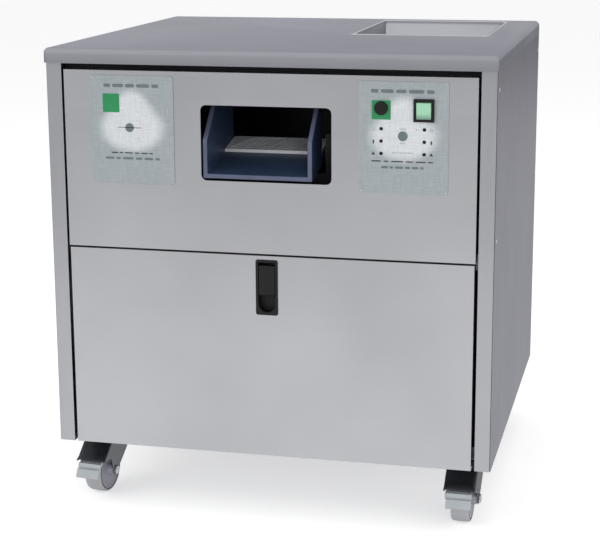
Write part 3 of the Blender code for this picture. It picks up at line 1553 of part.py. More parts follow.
for corner in ("fl", "fr", "rl", "rr"):
    across = (-1 if corner[1] == "l" else 1) * (SIDE - CASTOR_INSET_SIDE)
    along = FRONT + CASTOR_INSET_FRONT if corner[0] == "f" else REAR - CASTOR_INSET_REAR
    swivel = bpy.data.objects.new(f"castor_{corner}_swivel", None)
    bpy.context.scene.collection.objects.link(swivel)
    swivel.location = (across, along, 0)
    swivel.rotation_euler = (0, 0, math.radians(CASTOR_REST_TURNS[corner]))

    plate = prism(
        f"castor_plate_{corner}",
        "top",
        rounded(-CASTOR_PLATE_HALF, CASTOR_PLATE_HALF, -CASTOR_PLATE_HALF, CASTOR_PLATE_HALF, CASTOR_PLATE),
        cup_top,
        plate_top,
        ZINC,
    )
    kingpin = turned(
        f"kingpin_{corner}",
        [
            (0, cup_top + CASTOR_PLATE / 2),
            (CASTOR_CUP_RADIUS, cup_top + CASTOR_PLATE / 2),
            (CASTOR_CUP_RADIUS, cup_bottom),
            (KINGPIN_RADIUS, cup_bottom),
            (KINGPIN_RADIUS, web_bottom - FIT),
            (KINGPIN_HEAD_RADIUS, web_bottom - FIT),
            (KINGPIN_HEAD_RADIUS, web_bottom - FIT - KINGPIN_HEAD),
            (0, web_bottom - FIT - KINGPIN_HEAD),
        ],
        ZINC,
        (0, 0, 0),
        sides=SMALL_ROUND_SIDES,
    )
    weld(plate, kingpin)

    fork = prism(f"castor_fork_{corner}", "side", fork_side, -fork_outer, fork_outer, ZINC)
    fork_cutters = [
        prism(f"fork_space_cutter_{corner}", "side", fork_space, -fork_inner, fork_inner, ZINC),
        rod(
            f"kingpin_hole_cutter_{corner}",
            KINGPIN_RADIUS + FIT,
            web_bottom - OVERRUN,
            web_top + OVERRUN,
            ZINC,
            (0, 0, 0),
        ),
        rod(
            f"axle_hole_cutter_{corner}",
            AXLE_RADIUS + FIT,
            -fork_outer - OVERRUN,
            fork_outer + OVERRUN,
            ZINC,
            (0, axle_y, WHEEL_RADIUS),
            "x",
        ),
    ]
    if corner[0] == "f":
        fork_cutters.append(
            rod(
                f"pedal_hole_cutter_{corner}",
                PEDAL_HUB_RADIUS / 2 + FIT,
                -fork_outer - OVERRUN,
                fork_outer + OVERRUN,
                ZINC,
                PEDAL_AXIS,
                "x",
            )
        )
    carve(fork, *fork_cutters)

    half = WHEEL_WIDTH / 2
    wheel = turned(
        f"castor_wheel_{corner}",
        [
            (AXLE_RADIUS + FIT, -half - FORK_GAP + FIT),
            (AXLE_RADIUS * 2, -half - FORK_GAP + FIT),
            (AXLE_RADIUS * 2, -half + WHEEL_DISH),
            (WHEEL_HUB_RADIUS, -half + WHEEL_DISH),
            (WHEEL_HUB_RADIUS, -half),
            (WHEEL_RADIUS - WHEEL_CROWN, -half),
            (WHEEL_RADIUS, -half + WHEEL_CROWN),
            (WHEEL_RADIUS, half - WHEEL_CROWN),
            (WHEEL_RADIUS - WHEEL_CROWN, half),
            (WHEEL_HUB_RADIUS, half),
            (WHEEL_HUB_RADIUS, half - WHEEL_DISH),
            (AXLE_RADIUS * 2, half - WHEEL_DISH),
            (AXLE_RADIUS * 2, half + FORK_GAP - FIT),
            (AXLE_RADIUS + FIT, half + FORK_GAP - FIT),
        ],
        GREY_RUBBER,
        (0, axle_y, WHEEL_RADIUS),
        "x",
        sides=ROUND_SIDES,
        ring=True,
    )
    turn_about(wheel, (0, axle_y, WHEEL_RADIUS))

    axle = rod(
        f"castor_axle_{corner}",
        AXLE_RADIUS,
        -fork_outer - FIT - AXLE_HEAD / 2,
        fork_outer + FIT + AXLE_HEAD / 2,
        ZINC,
        (0, axle_y, WHEEL_RADIUS),
        "x",
    )
    heads = [
        rod(
            f"axle_head_{corner}_{name}",
            AXLE_HEAD_RADIUS,
            end * (fork_outer + FIT),
            end * (fork_outer + FIT + AXLE_HEAD),
            ZINC,
            (0, axle_y, WHEEL_RADIUS),
            "x",
            sides=6,
        )
        for end, name in ((-1, "left"), (1, "right"))
    ]
    weld(axle, *heads)

    turning = [fork, wheel, axle, *fork_cutters, *heads]
    if corner[0] == "f":
        pedal = prism(
            f"castor_pedal_{corner}",
            "side",
            [
                (PEDAL_KNEE[0], PEDAL_KNEE[1]),
                (PEDAL_FOOT[0], PEDAL_FOOT[1]),
                (PEDAL_FOOT[0] - PEDAL_SHEET, PEDAL_FOOT[1] + PEDAL_SHEET),
                (PEDAL_KNEE[0] - PEDAL_SHEET, PEDAL_KNEE[1] + PEDAL_SHEET),
            ],
            -PEDAL_WIDTH / 2,
            PEDAL_WIDTH / 2,
            ZINC,
        )
        neck = prism(
            f"pedal_neck_{corner}",
            "side",
            [
                (PEDAL_AXIS[1], PEDAL_AXIS[2] - PEDAL_HUB_RADIUS / 2),
                (PEDAL_AXIS[1], PEDAL_AXIS[2] + PEDAL_HUB_RADIUS / 2),
                (PEDAL_KNEE[0] - PEDAL_SHEET / 2, PEDAL_KNEE[1] + PEDAL_SHEET / 2),
                (PEDAL_KNEE[0], PEDAL_KNEE[1] - PEDAL_SHEET),
            ],
            -fork_inner + FORK_GAP,
            fork_inner - FORK_GAP,
            ZINC,
        )
        hub = rod(
            f"pedal_hub_{corner}",
            PEDAL_HUB_RADIUS,
            -fork_inner + FORK_GAP / 2,
            fork_inner - FORK_GAP / 2,
            ZINC,
            PEDAL_AXIS,
            "x",
        )
        stub = rod(
            f"pedal_stub_{corner}",
            PEDAL_HUB_RADIUS / 2,
            -fork_outer,
            fork_outer,
            ZINC,
            PEDAL_AXIS,
            "x",
        )
        weld(pedal, neck, hub, stub)
        turn_about(pedal, PEDAL_AXIS)
        turning += [pedal, neck, hub, stub]
    for piece in turning:
        piece.parent = swivel
    for piece in (plate, kingpin):
        piece.location = (across, along, 0)
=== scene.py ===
"""Looks of a floor-standing vibrating cutlery polisher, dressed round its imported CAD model.

Metres, +Z up. The front faces -Y, and the origin is on the floor under the middle of the machine.
"""

import json
import math

import bmesh
import bpy
import numpy as np
from mathutils import Matrix, Vector


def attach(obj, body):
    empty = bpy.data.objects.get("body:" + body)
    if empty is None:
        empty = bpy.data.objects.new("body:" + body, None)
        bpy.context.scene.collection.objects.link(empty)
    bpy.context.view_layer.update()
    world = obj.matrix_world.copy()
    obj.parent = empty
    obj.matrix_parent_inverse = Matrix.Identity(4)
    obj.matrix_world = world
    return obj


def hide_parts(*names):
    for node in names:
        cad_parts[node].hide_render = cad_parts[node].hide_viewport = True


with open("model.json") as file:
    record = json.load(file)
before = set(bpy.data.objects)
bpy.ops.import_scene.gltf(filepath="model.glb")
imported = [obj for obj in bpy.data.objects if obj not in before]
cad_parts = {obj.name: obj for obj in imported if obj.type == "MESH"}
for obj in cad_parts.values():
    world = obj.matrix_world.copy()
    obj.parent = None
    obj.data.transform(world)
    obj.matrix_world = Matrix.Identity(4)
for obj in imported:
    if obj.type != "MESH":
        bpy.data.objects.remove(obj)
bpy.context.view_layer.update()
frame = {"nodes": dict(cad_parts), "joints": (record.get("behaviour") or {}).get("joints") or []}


# Camera: stands a little to the right of the machine and looks down on it. Its small shift stands in for the
# photograph's own, in which the uprights are parallel.
MM = 0.001
PHOTO_WIDTH = 600
SENSOR = 36 * MM
FOCAL_PIXELS = 1582.6
CAMERA_PLACE = (0.6031, -2.6100, 0.9717)
CAMERA_YAW = math.radians(13.505)
CAMERA_PITCH = math.radians(12.522)
CAMERA_ROLL = math.radians(-0.308)

camera_data = bpy.data.cameras.new("photo_camera")
camera_data.sensor_width = SENSOR / MM
camera_data.lens = FOCAL_PIXELS * SENSOR / MM / PHOTO_WIDTH
camera_data.shift_y = -0.05
camera_data.clip_end = 100
camera = bpy.data.objects.new("photo_camera", camera_data)
bpy.context.scene.collection.objects.link(camera)
camera.matrix_world = (
    Matrix.Translation(CAMERA_PLACE)
    @ Matrix.Rotation(CAMERA_YAW, 4, "Z")
    @ Matrix.Rotation(math.pi / 2 - CAMERA_PITCH, 4, "X")
    @ Matrix.Rotation(CAMERA_ROLL, 4, "Z")
)
bpy.context.scene.camera = camera


# Studio: a pale seamless floor, wide soft lamps at both sides, overhead and in front, and a white surround
# that metal sees as the camera does. In reflections the floor is a painted glow: bright in a wide pool,
# dimmer past it.
LAMPS = {
    "left_softbox": ((-2.6, -2.4, 2.4), 2.4, 34),
    "right_softbox": ((3.0, -1.6, 1.9), 2.0, 14),
    "overhead_softbox": ((0.2, 0.3, 3.4), 3.0, 30),
    "front_softbox": ((1.0, -3.2, 1.1), 1.2, 20),
}
LAMP_TARGET = (0, 0, 0.35)
FLOOR_REACH = 20
FLOOR_CELLS = 9
POOL_MIDDLE = (0.4, 1.2, 0)
LIT_REACH = 2.6
DIM_REACH = 7.0
DIM_SHARE = 0.3
FLOOR_GLOW = 0.45
AMBIENT = 0.5
BACKDROP = 1.0


def linear(code):
    """The linear colour of an sRGB hex value.

    A channel c becomes c / 12.92 up to 0.04045, and ((c + 0.055) / 1.055) ** 2.4 above it.
    """
    channels = [int(code[start : start + 2], 16) / 255 for start in (1, 3, 5)]
    return (*(c / 12.92 if c <= 0.04045 else ((c + 0.055) / 1.055) ** 2.4 for c in channels), 1.0)


def add_node(tree, kind, inputs=(), **settings):
    """Adds a node with its settings; each named or numbered input gets its value or the socket feeding it."""
    made = tree.nodes.new(kind)
    for name, value in settings.items():
        setattr(made, name, value)
    for name, value in dict(inputs).items():
        if isinstance(value, bpy.types.NodeSocket):
            tree.links.new(value, made.inputs[name])
        else:
            made.inputs[name].default_value = value
    return made


def bare_finish(name, colour, roughness, metallic=0.0):
    """A finish with its even colour, roughness and metallic value, its node tree, and its surface node."""
    made = bpy.data.materials.new(name)
    made.use_nodes = True
    surface = made.node_tree.nodes["Principled BSDF"]
    surface.inputs["Base Color"].default_value = linear(colour)
    surface.inputs["Roughness"].default_value = roughness
    surface.inputs["Metallic"].default_value = metallic
    return made, made.node_tree, surface


def grid_mesh(name, grids, wrap=False, loop=False, cap=False):
    """One mesh of quads through grids of points, each of rows by columns.

    Point (r, c) joins (r, c + 1), (r + 1, c + 1) and (r + 1, c). Wrapped columns meet, looped rows meet, and
    caps fill the end rows.
    """
    corners = np.concatenate([points.reshape(-1, 3) for points in grids])
    faces = []
    first = 0
    for points in grids:
        rows, columns = points.shape[:2]
        places = first + np.arange(rows * columns).reshape(rows, columns)
        first += rows * columns
        faces += [places[0, ::-1].tolist(), places[-1].tolist()] if cap else []
        places = np.vstack([places, places[:1]]) if loop else places
        places = np.hstack([places, places[:, :1]]) if wrap else places
        quads = np.stack([places[:-1, :-1], places[:-1, 1:], places[1:, 1:], places[1:, :-1]], axis=-1)
        faces += quads.reshape(-1, 4).tolist()
    mesh = bpy.data.meshes.new(name)
    mesh.from_pydata(corners.tolist(), [], faces)
    shape = bmesh.new()
    shape.from_mesh(mesh)
    bmesh.ops.recalc_face_normals(shape, faces=shape.faces)
    shape.to_mesh(mesh)
    shape.free()
    return mesh


def put(name, mesh, surface, body=None, smooth_angle=None):
    """Puts a finished mesh into the scene to ride on a body; faces up to an angle apart are shaded as one."""
    mesh.materials.clear()
    mesh.materials.append(surface)
    if smooth_angle is not None:
        mesh.shade_smooth()
        mesh.set_sharp_from_angle(angle=math.radians(smooth_angle))
    piece = bpy.data.objects.new(name, mesh)
    bpy.context.scene.collection.objects.link(piece)
    if body:
        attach(piece, body)
    return piece


bpy.context.scene.view_settings.view_transform = "Standard"
studio = bpy.data.worlds.new("white_studio")
studio.use_nodes = True
bpy.context.scene.world = studio
tree = studio.node_tree
tree.nodes.clear()
rays = add_node(tree, "ShaderNodeLightPath")
seen = {0: rays.outputs["Is Camera Ray"], 1: rays.outputs["Is Glossy Ray"]}
seen = add_node(tree, "ShaderNodeMath", seen, operation="MAXIMUM")
seen = {0: seen.outputs[0], 1: rays.outputs["Is Transmission Ray"]}
seen = add_node(tree, "ShaderNodeMath", seen, operation="MAXIMUM")
ambient = add_node(tree, "ShaderNodeBackground", {"Color": linear("#FFFFFF"), "Strength": AMBIENT})
backdrop = add_node(tree, "ShaderNodeBackground", {"Color": linear("#FFFFFF"), "Strength": BACKDROP})
mixed = {0: seen.outputs[0], 1: ambient.outputs[0], 2: backdrop.outputs[0]}
mixed = add_node(tree, "ShaderNodeMixShader", mixed)
add_node(tree, "ShaderNodeOutputWorld", {"Surface": mixed.outputs[0]})

for name, (place, size, watts) in LAMPS.items():
    lamp_data = bpy.data.lights.new(name, "AREA")
    lamp_data.size = size
    lamp_data.energy = watts
    lamp = bpy.data.objects.new(name, lamp_data)
    lamp.visible_glossy = False
    bpy.context.scene.collection.objects.link(lamp)
    aim = (Vector(LAMP_TARGET) - Vector(place)).to_track_quat("-Z", "Y")
    lamp.matrix_world = Matrix.Translation(place) @ aim.to_matrix().to_4x4()

floor_paint, tree, surface = bare_finish("white_studio_floor", "#F4F4F4", 0.9)
rays = add_node(tree, "ShaderNodeLightPath")
place = add_node(tree, "ShaderNodeTexCoord")
# The glow that reflections see on the floor is painted light: full within LIT_REACH of the pool's middle,
# fading to DIM_SHARE past DIM_REACH.
distance = {0: place.outputs["Object"], 1: POOL_MIDDLE}
distance = add_node(tree, "ShaderNodeVectorMath", distance, operation="DISTANCE")
fade = {"Value": distance.outputs["Value"], "From Min": LIT_REACH, "From Max": DIM_REACH}
fade |= {"To Min": 1.0, "To Max": DIM_SHARE}
fade = add_node(tree, "ShaderNodeMapRange", fade, interpolation_type="SMOOTHSTEP")
painted_reflection_pool = add_node(tree, "ShaderNodeEmission", {"Color": linear("#FFFFFF"), "Strength": fade.outputs[0]})
glow = add_node(tree, "ShaderNodeEmission", {"Color": linear("#FFFFFF"), "Strength": FLOOR_GLOW})
lit = add_node(tree, "ShaderNodeAddShader", {0: surface.outputs[0], 1: glow.outputs[0]})
seen = {0: rays.outputs["Is Camera Ray"], 1: surface.outputs[0], 2: lit.outputs[0]}
seen = add_node(tree, "ShaderNodeMixShader", seen)
mixed = {0: rays.outputs["Is Glossy Ray"], 1: seen.outputs[0], 2: painted_reflection_pool.outputs[0]}
mixed = add_node(tree, "ShaderNodeMixShader", mixed)
tree.links.new(mixed.outputs[0], tree.nodes["Material Output"].inputs["Surface"])
across, along = np.meshgrid(*[np.linspace(-FLOOR_REACH, FLOOR_REACH, FLOOR_CELLS)] * 2)
floor_mesh = grid_mesh("studio_floor", [np.stack([across, along, 0 * across], axis=-1)])
floor = put("studio_floor", floor_mesh, floor_paint)


# Cabinet sheets: rolled stainless with a fine satin grind, folded and bolted to welded square posts. The
# grind gives a soft sheen with faint lines along the grain and slow, cloudy changes of tone.
GRIND_WIDTH = 1.6 * MM  # real lines are 0.1 mm apart, and are drawn coarser so that they show at all
GRIND_LENGTH = 110 * MM
CLOUD = 190 * MM
POST_EDGE = 1.2 * MM
FOLD_EDGE = 0.8 * MM
CUT_EDGE = 0.4 * MM
RIVET_RADIUS = 3.2 * MM
RIVET_HEIGHT = 0.9 * MM
SIDE_RIVET_PLACES = [(y * MM, z * MM) for y in (-304, 316) for z in (692, 466)]
REAR_SCREW_PLACES = [(x * MM, z * MM) for x in (-318, 318) for z in (122, 310, 500, 700)]
STUD_SIDES = 20


def satin_steel(name, colour, grain_axis, roughness=0.36, depth=0.02 * MM, edge="#B0B0B0"):
    """Satin-ground steel: streaks along one axis change its roughness and tilt, clouds change its tone."""
    made, tree, surface = bare_finish(name, colour, roughness, 1.0)
    surface.inputs["Specular Tint"].default_value = linear(edge)
    place = add_node(tree, "ShaderNodeTexCoord")
    stretch = [1 / GRIND_WIDTH] * 3
    stretch["xyz".index(grain_axis)] = 1 / GRIND_LENGTH
    along_grain = {"Vector": place.outputs["Object"], "Scale": stretch}
    along_grain = add_node(tree, "ShaderNodeMapping", along_grain)
    streaks = {"Vector": along_grain.outputs[0], "Scale": 1.0, "Detail": 3.0, "Roughness": 0.6}
    streaks = add_node(tree, "ShaderNodeTexNoise", streaks)
    clouds = {"Vector": place.outputs["Object"], "Scale": 1 / CLOUD, "Detail": 2.0}
    clouds = add_node(tree, "ShaderNodeTexNoise", clouds)
    gloss = {"Value": streaks.outputs["Fac"], "From Min": 0.3, "From Max": 0.7}
    gloss |= {"To Min": roughness - 0.05, "To Max": roughness + 0.05}
    dull = add_node(tree, "ShaderNodeMapRange", gloss)
    shade = {"Value": clouds.outputs["Fac"], "From Min": 0.3, "From Max": 0.7}
    shade |= {"To Min": 0.95, "To Max": 1.05}
    tone = add_node(tree, "ShaderNodeMapRange", shade)
    tinted = {0: linear(colour)[:3], "Scale": tone.outputs[0]}
    tinted = add_node(tree, "ShaderNodeVectorMath", tinted, operation="SCALE")
    lines = {"Height": streaks.outputs["Fac"], "Strength": 0.25, "Distance": depth}
    lines = add_node(tree, "ShaderNodeBump", lines)
    tree.links.new(tinted.outputs[0], surface.inputs["Base Color"])
    tree.links.new(dull.outputs[0], surface.inputs["Roughness"])
    tree.links.new(lines.outputs[0], surface.inputs["Normal"])
    return made


def folded_copy(node, surface, radius, body, steps=2, angle=30):
    """A CAD sheet or moulding, its edges rounded as a press or a mould leaves them, to replace the node."""
    shape = bmesh.new()
    shape.from_mesh(frame["nodes"][node].data)
    bmesh.ops.remove_doubles(shape, verts=shape.verts, dist=0.02 * MM)
    bmesh.ops.dissolve_limit(shape, angle_limit=math.radians(1), verts=shape.verts, edges=shape.edges)
    mesh = bpy.data.meshes.new(node)
    shape.to_mesh(mesh)
    shape.free()
    piece = put(f"{node}_finished", mesh, surface, body, smooth_angle=angle)
    edges = piece.modifiers.new("rounded edges", "BEVEL")
    edges.width = radius
    edges.segments = steps
    edges.limit_method = "ANGLE"
    edges.angle_limit = math.radians(angle)
    edges.harden_normals = True
    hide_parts(node)
    return piece


def studs(name, places, axis, base, radius, height, surface, body):
    """Blind rivets or screws on a face square to an axis: a flat dome with a dimple, turned at each place."""
    profile = np.array([(1, 0), (0.98, 0.35), (0.8, 0.78), (0.45, 1), (0.3, 1), (0.22, 0.7), (0.04, 0.7)])
    turn = np.linspace(0, 2 * math.pi, STUD_SIDES, endpoint=False)[None]
    reach = radius * profile[:, :1]
    along = base + height * profile[:, 1:] + 0 * turn
    grids = []
    for across, up in places:
        sides = (across + reach * np.cos(turn), up + reach * np.sin(turn))
        order = {"x": (along, *sides), "y": (sides[0], along, sides[1])}[axis]
        grids.append(np.stack(order, axis=-1))
    return put(name, grid_mesh(name, grids, wrap=True, cap=True), surface, body, 50)


def dress(surface, *names):
    """Gives CAD nodes that keep their shape their finish."""
    for name in names:
        for slot in frame["nodes"][name].material_slots:
            slot.material = surface


FRONT_SHEET = satin_steel("satin_stainless_front", "#BEBFC3", "x")
# The side sheet is the front's satin stainless in a darker colour: painted shade for the less lit side.
SIDE_SHEET_SHADED = satin_steel("satin_stainless_side_painted_shade", "#9A9AA1", "z", edge="#C0C0C5")
FRAME_STEEL = satin_steel("satin_stainless_posts", "#B4B5B9", "z")
PLAIN_STEEL = satin_steel("mill_finish_stainless", "#8E8F93", "y", 0.48)
# The top frame's steel is painted near-black: painted shade in the recess under the worktop's overhang. The
# door pins get the same dark steel.
SHADE_DARK_STEEL = satin_steel("shaded_frame_steel", "#2C2C2F", "x", 0.5)
BRIGHT_STEEL = satin_steel("bright_stainless_fastener", "#D2D4D6", "x", 0.22)
folded_copy("base_pan", PLAIN_STEEL, CUT_EDGE, "cabinet")
for side, hand in ((-1, "left"), (1, "right")):
    folded_copy(f"{hand}_side_frame", FRAME_STEEL, POST_EDGE, "cabinet")
    folded_copy(f"{hand}_side_panel", SIDE_SHEET_SHADED, 0.35 * MM, "cabinet")
    face, height = side * 350 * MM, side * RIVET_HEIGHT
    name = f"{hand}_side_rivets"
    studs(name, SIDE_RIVET_PLACES, "x", face, RIVET_RADIUS, height, BRIGHT_STEEL, "cabinet")
for name in ("mid_rail", "rear_panel"):
    folded_copy(name, PLAIN_STEEL, CUT_EDGE, "cabinet")
studs("rear_screws", REAR_SCREW_PLACES, "y", 311 * MM, 4 * MM, 2 * MM, BRIGHT_STEEL, "cabinet")
folded_copy("upper_front_panel", FRONT_SHEET, FOLD_EDGE, "cabinet")
folded_copy("top_frame", SHADE_DARK_STEEL, CUT_EDGE, "cabinet")


# Worktop and feed hopper: satin sheet with a rounded front edge, and a sloping hopper welded into it. The
# worktop
# round the mouth is painted paler: a painted highlight on the hopper's rim.
TOP_SHEET = satin_steel("satin_stainless_top", "#A0A1A8", "x", edge="#C0C1C7")
HOPPER_SHEET = satin_steel("satin_stainless_hopper", "#B2B3B8", "y", 0.42)
MOUTH_MIDDLE = (183 * MM, 139 * MM)
HIGHLIGHT_HALF = (115 * MM, 158 * MM)
RIM_HIGHLIGHT_COLOUR = "#E2E4E7"

tree = TOP_SHEET.node_tree
surface = tree.nodes["Principled BSDF"]
place = add_node(tree, "ShaderNodeTexCoord")
highlight_band = {"Vector": place.outputs["Object"], "Scale": (1 / HIGHLIGHT_HALF[0], 1 / HIGHLIGHT_HALF[1], 0)}
highlight_band["Location"] = (-MOUTH_MIDDLE[0] / HIGHLIGHT_HALF[0], -MOUTH_MIDDLE[1] / HIGHLIGHT_HALF[1], 0)
highlight_band = add_node(tree, "ShaderNodeMapping", highlight_band)
highlight_band = add_node(tree, "ShaderNodeVectorMath", {0: highlight_band.outputs[0]}, operation="ABSOLUTE")
sides = add_node(tree, "ShaderNodeSeparateXYZ", {0: highlight_band.outputs[0]})
farther = {0: sides.outputs[0], 1: sides.outputs[1]}
farther = add_node(tree, "ShaderNodeMath", farther, operation="MAXIMUM")
near = {"Value": farther.outputs[0], "From Min": 0.98, "From Max": 1.0}
near = add_node(tree, "ShaderNodeMapRange", near | {"To Min": 1.0, "To Max": 0.0})
# Inside the mouth's rectangle the worktop takes the pale colour, a painted highlight round the hopper's rim.
painted_highlight = tree.nodes.new("ShaderNodeMix")
painted_highlight.data_type = "RGBA"
tree.links.new(near.outputs[0], painted_highlight.inputs[0])
tree.links.new(surface.inputs["Base Color"].links[0].from_socket, painted_highlight.inputs[6])
painted_highlight.inputs[7].default_value = linear(RIM_HIGHLIGHT_COLOUR)
tree.links.new(painted_highlight.outputs[2], surface.inputs["Base Color"])
folded_copy("worktop", TOP_SHEET, CUT_EDGE, "cabinet", angle=40)
folded_copy("feed_hopper", HOPPER_SHEET, CUT_EDGE, "cabinet", angle=40)


# Door: one folded sheet that tips forward on two pins at its foot.
ZINC = satin_steel("bright_zinc_plate", "#C3C7CB", "z", 0.34)
folded_copy("lower_door", FRONT_SHEET, FOLD_EDGE, "door")
DOOR_RIVET_PLACES = [(-40 * MM, 125 * MM), (40 * MM, 125 * MM)]
studs("door_rivets", DOOR_RIVET_PLACES, "y", -301 * MM, 3 * MM, 0.8 * MM, ZINC, "door")
dress(SHADE_DARK_STEEL, "door_pin_left", "door_pin_right")


# Latch: a black moulded cup with a flush paddle set through the door, and a sliding steel catch behind it.
def moulded(name, colour, roughness, texture=0.7 * MM, depth=0.03 * MM, change=0.06, metallic=0.0):
    """A moulded or painted surface: a fine texture in its relief, and slow changes of tone and gloss."""
    made, tree, surface = bare_finish(name, colour, roughness, metallic)
    surface.inputs["Specular IOR Level"].default_value = 0.35
    place = add_node(tree, "ShaderNodeTexCoord")
    fine = {"Vector": place.outputs["Object"], "Scale": 1 / texture, "Detail": 3.0}
    fine = add_node(tree, "ShaderNodeTexNoise", fine)
    broad = {"Vector": place.outputs["Object"], "Scale": 1 / (20 * texture + 10 * MM), "Detail": 4.0}
    broad = add_node(tree, "ShaderNodeTexNoise", broad)
    shade = {"Value": broad.outputs["Fac"], "From Min": 0.3, "From Max": 0.7}
    shade |= {"To Min": 1 - change, "To Max": 1 + change}
    tone = add_node(tree, "ShaderNodeMapRange", shade)
    tinted = {0: linear(colour)[:3], "Scale": tone.outputs[0]}
    tinted = add_node(tree, "ShaderNodeVectorMath", tinted, operation="SCALE")
    gloss = {"Value": broad.outputs["Fac"], "From Min": 0.3, "From Max": 0.7}
    gloss |= {"To Min": roughness - 0.05, "To Max": roughness + 0.07}
    dull = add_node(tree, "ShaderNodeMapRange", gloss)
    relief = {"Height": fine.outputs["Fac"], "Strength": 0.4, "Distance": depth}
    relief = add_node(tree, "ShaderNodeBump", relief)
    tree.links.new(tinted.outputs[0], surface.inputs["Base Color"])
    tree.links.new(dull.outputs[0], surface.inputs["Roughness"])
    tree.links.new(relief.outputs[0], surface.inputs["Normal"])
    return made


MOULD_EDGE = 0.6 * MM
BLACK_ABS = moulded("black_moulded_abs", "#0C0C0E", 0.5)
CHARCOAL_ABS = moulded("charcoal_moulded_abs", "#0E0F11", 0.55)
folded_copy("latch_bezel", BLACK_ABS, MOULD_EDGE, "door", 3)
folded_copy("latch_paddle", CHARCOAL_ABS, MOULD_EDGE, "paddle", 3)
dress(ZINC, "latch_catch")


# Label plates: thin coated metal sheets glued on, with a woven pattern and a pale field in the middle. Their
# printing is plain: bars where a real plate has its words, and simple shapes beside the lamps.
PLATE_FACE = -320.3 * MM
PRINT_THICKNESS = 0.12 * MM
THREAD = 1.1 * MM  # real threads are finer, and are drawn coarser so that they show
THREAD_RUN = 14 * MM
FIELDS = ((50 * MM, 36 * MM, 622 * MM), (30 * MM, 36 * MM, 644 * MM))
FIELD_MERGE = 0.7
CORNER_STUD = 64.5 * MM
PRINT_SIDES = 28


def label_sheet(name, centre, border, field):
    """Coated sheet: two crossed sets of threads, and a soft-edged field, an ellipse with a narrower lobe."""
    made, tree, surface = bare_finish(name, border, 0.36)
    place = add_node(tree, "ShaderNodeTexCoord")
    threads = []
    for stretch in ((1 / THREAD, 1, 1 / THREAD_RUN), (1 / THREAD_RUN, 1, 1 / THREAD)):
        run = add_node(tree, "ShaderNodeMapping", {"Vector": place.outputs["Object"], "Scale": stretch})
        run = add_node(tree, "ShaderNodeTexNoise", {"Vector": run.outputs[0], "Scale": 1.0, "Detail": 2.0})
        threads.append(run.outputs["Fac"])
    weave = add_node(tree, "ShaderNodeMath", {0: threads[0], 1: threads[1]}, operation="ADD")
    nearness = []
    for half_width, half_height, middle in FIELDS:
        shape = {"Vector": place.outputs["Object"], "Scale": (1 / half_width, 0, 1 / half_height)}
        shape["Location"] = (-centre / half_width, 0, -middle / half_height)
        shape = add_node(tree, "ShaderNodeMapping", shape)
        shape = add_node(tree, "ShaderNodeVectorMath", {0: shape.outputs[0]}, operation="LENGTH")
        nearness.append(shape.outputs["Value"])
    nearest = {0: nearness[0], 1: nearness[1], 2: FIELD_MERGE}
    nearest = add_node(tree, "ShaderNodeMath", nearest, operation="SMOOTH_MIN")
    fade = {"Value": nearest.outputs[0], "From Min": 0.72, "From Max": 1.22}
    fade |= {"To Min": 1.0, "To Max": 0.0}
    fade = add_node(tree, "ShaderNodeMapRange", fade, interpolation_type="SMOOTHSTEP")
    ink = tree.nodes.new("ShaderNodeMix")
    ink.data_type = "RGBA"
    tree.links.new(fade.outputs[0], ink.inputs[0])
    ink.inputs[6].default_value = linear(border)
    ink.inputs[7].default_value = linear(field)
    shade = {"Value": weave.outputs[0], "From Min": 0.75, "From Max": 1.25}
    shade |= {"To Min": 0.90, "To Max": 1.10}
    tone = add_node(tree, "ShaderNodeMapRange", shade)
    tinted = {0: ink.outputs[2], "Scale": tone.outputs[0]}
    tinted = add_node(tree, "ShaderNodeVectorMath", tinted, operation="SCALE")
    relief = {"Height": weave.outputs[0], "Strength": 0.3, "Distance": 0.03 * MM}
    relief = add_node(tree, "ShaderNodeBump", relief)
    tree.links.new(tinted.outputs[0], surface.inputs["Base Color"])
    tree.links.new(relief.outputs[0], surface.inputs["Normal"])
    return made


def extruded(outline, low, high, ease):
    """An outline drawn out from low to high as rings; its ends are eased, and full size after the ease.

    Each ring scales the outline about its mean by 1 - ease / reach, where reach is its farthest corner.
    """
    outline = np.asarray(outline, float)
    middle = outline.mean(axis=0)
    reach = np.linalg.norm(outline - middle, axis=1).max()
    levels = np.array([(low, 1 - ease / reach), (low + ease / 3, 1 - ease / reach / 4), (low + ease, 1)])
    levels = np.vstack([levels, [(low + high - x, share) for x, share in levels[::-1]]])
    ring = middle + (outline - middle)[None] * levels[:, 1, None, None]
    along = np.broadcast_to(levels[:, 0, None, None], (len(levels), len(outline), 1))
    return np.concatenate([along, ring], axis=-1)


def polygon(across, up, half_width, half_height, power=1.0, sides=PRINT_SIDES, first=0.0):
    """A superellipse: across + a sgn(cos t) |cos t| ** power, up + b sgn(sin t) |sin t| ** power.

    A power of 1 gives an ellipse.
    """
    turn = first + np.linspace(0, 2 * math.pi, sides, endpoint=False)
    bent = [np.sign(part) * np.abs(part) ** power for part in (np.cos(turn), np.sin(turn))]
    return np.stack([across + half_width * bent[0], up + half_height * bent[1]], axis=-1)


def printed(name, surface, outlines):
    """Marks on the label plates, as ink a tenth of a millimetre thick that starts just inside the sheet."""
    ease = PRINT_THICKNESS / 3
    grids = [extruded(o, PLATE_FACE - PRINT_THICKNESS, PLATE_FACE + PRINT_THICKNESS, ease) for o in outlines]
    mesh = grid_mesh(name, [grid[..., [1, 0, 2]] for grid in grids], wrap=True, cap=True)
    return put(name, mesh, surface, "cabinet")


def bar_row(left, right, up, height, shares):
    """A row of rounded bars between two ends, whose widths and gaps follow the shares in turn."""
    ends = left + (right - left) * np.cumsum([0, *shares]) / np.sum(shares)
    pairs = zip(ends[::2].tolist(), ends[1::2].tolist())
    return [polygon((a + b) / 2, up, (b - a) / 2, height / 2, 0.4) for a, b in pairs]


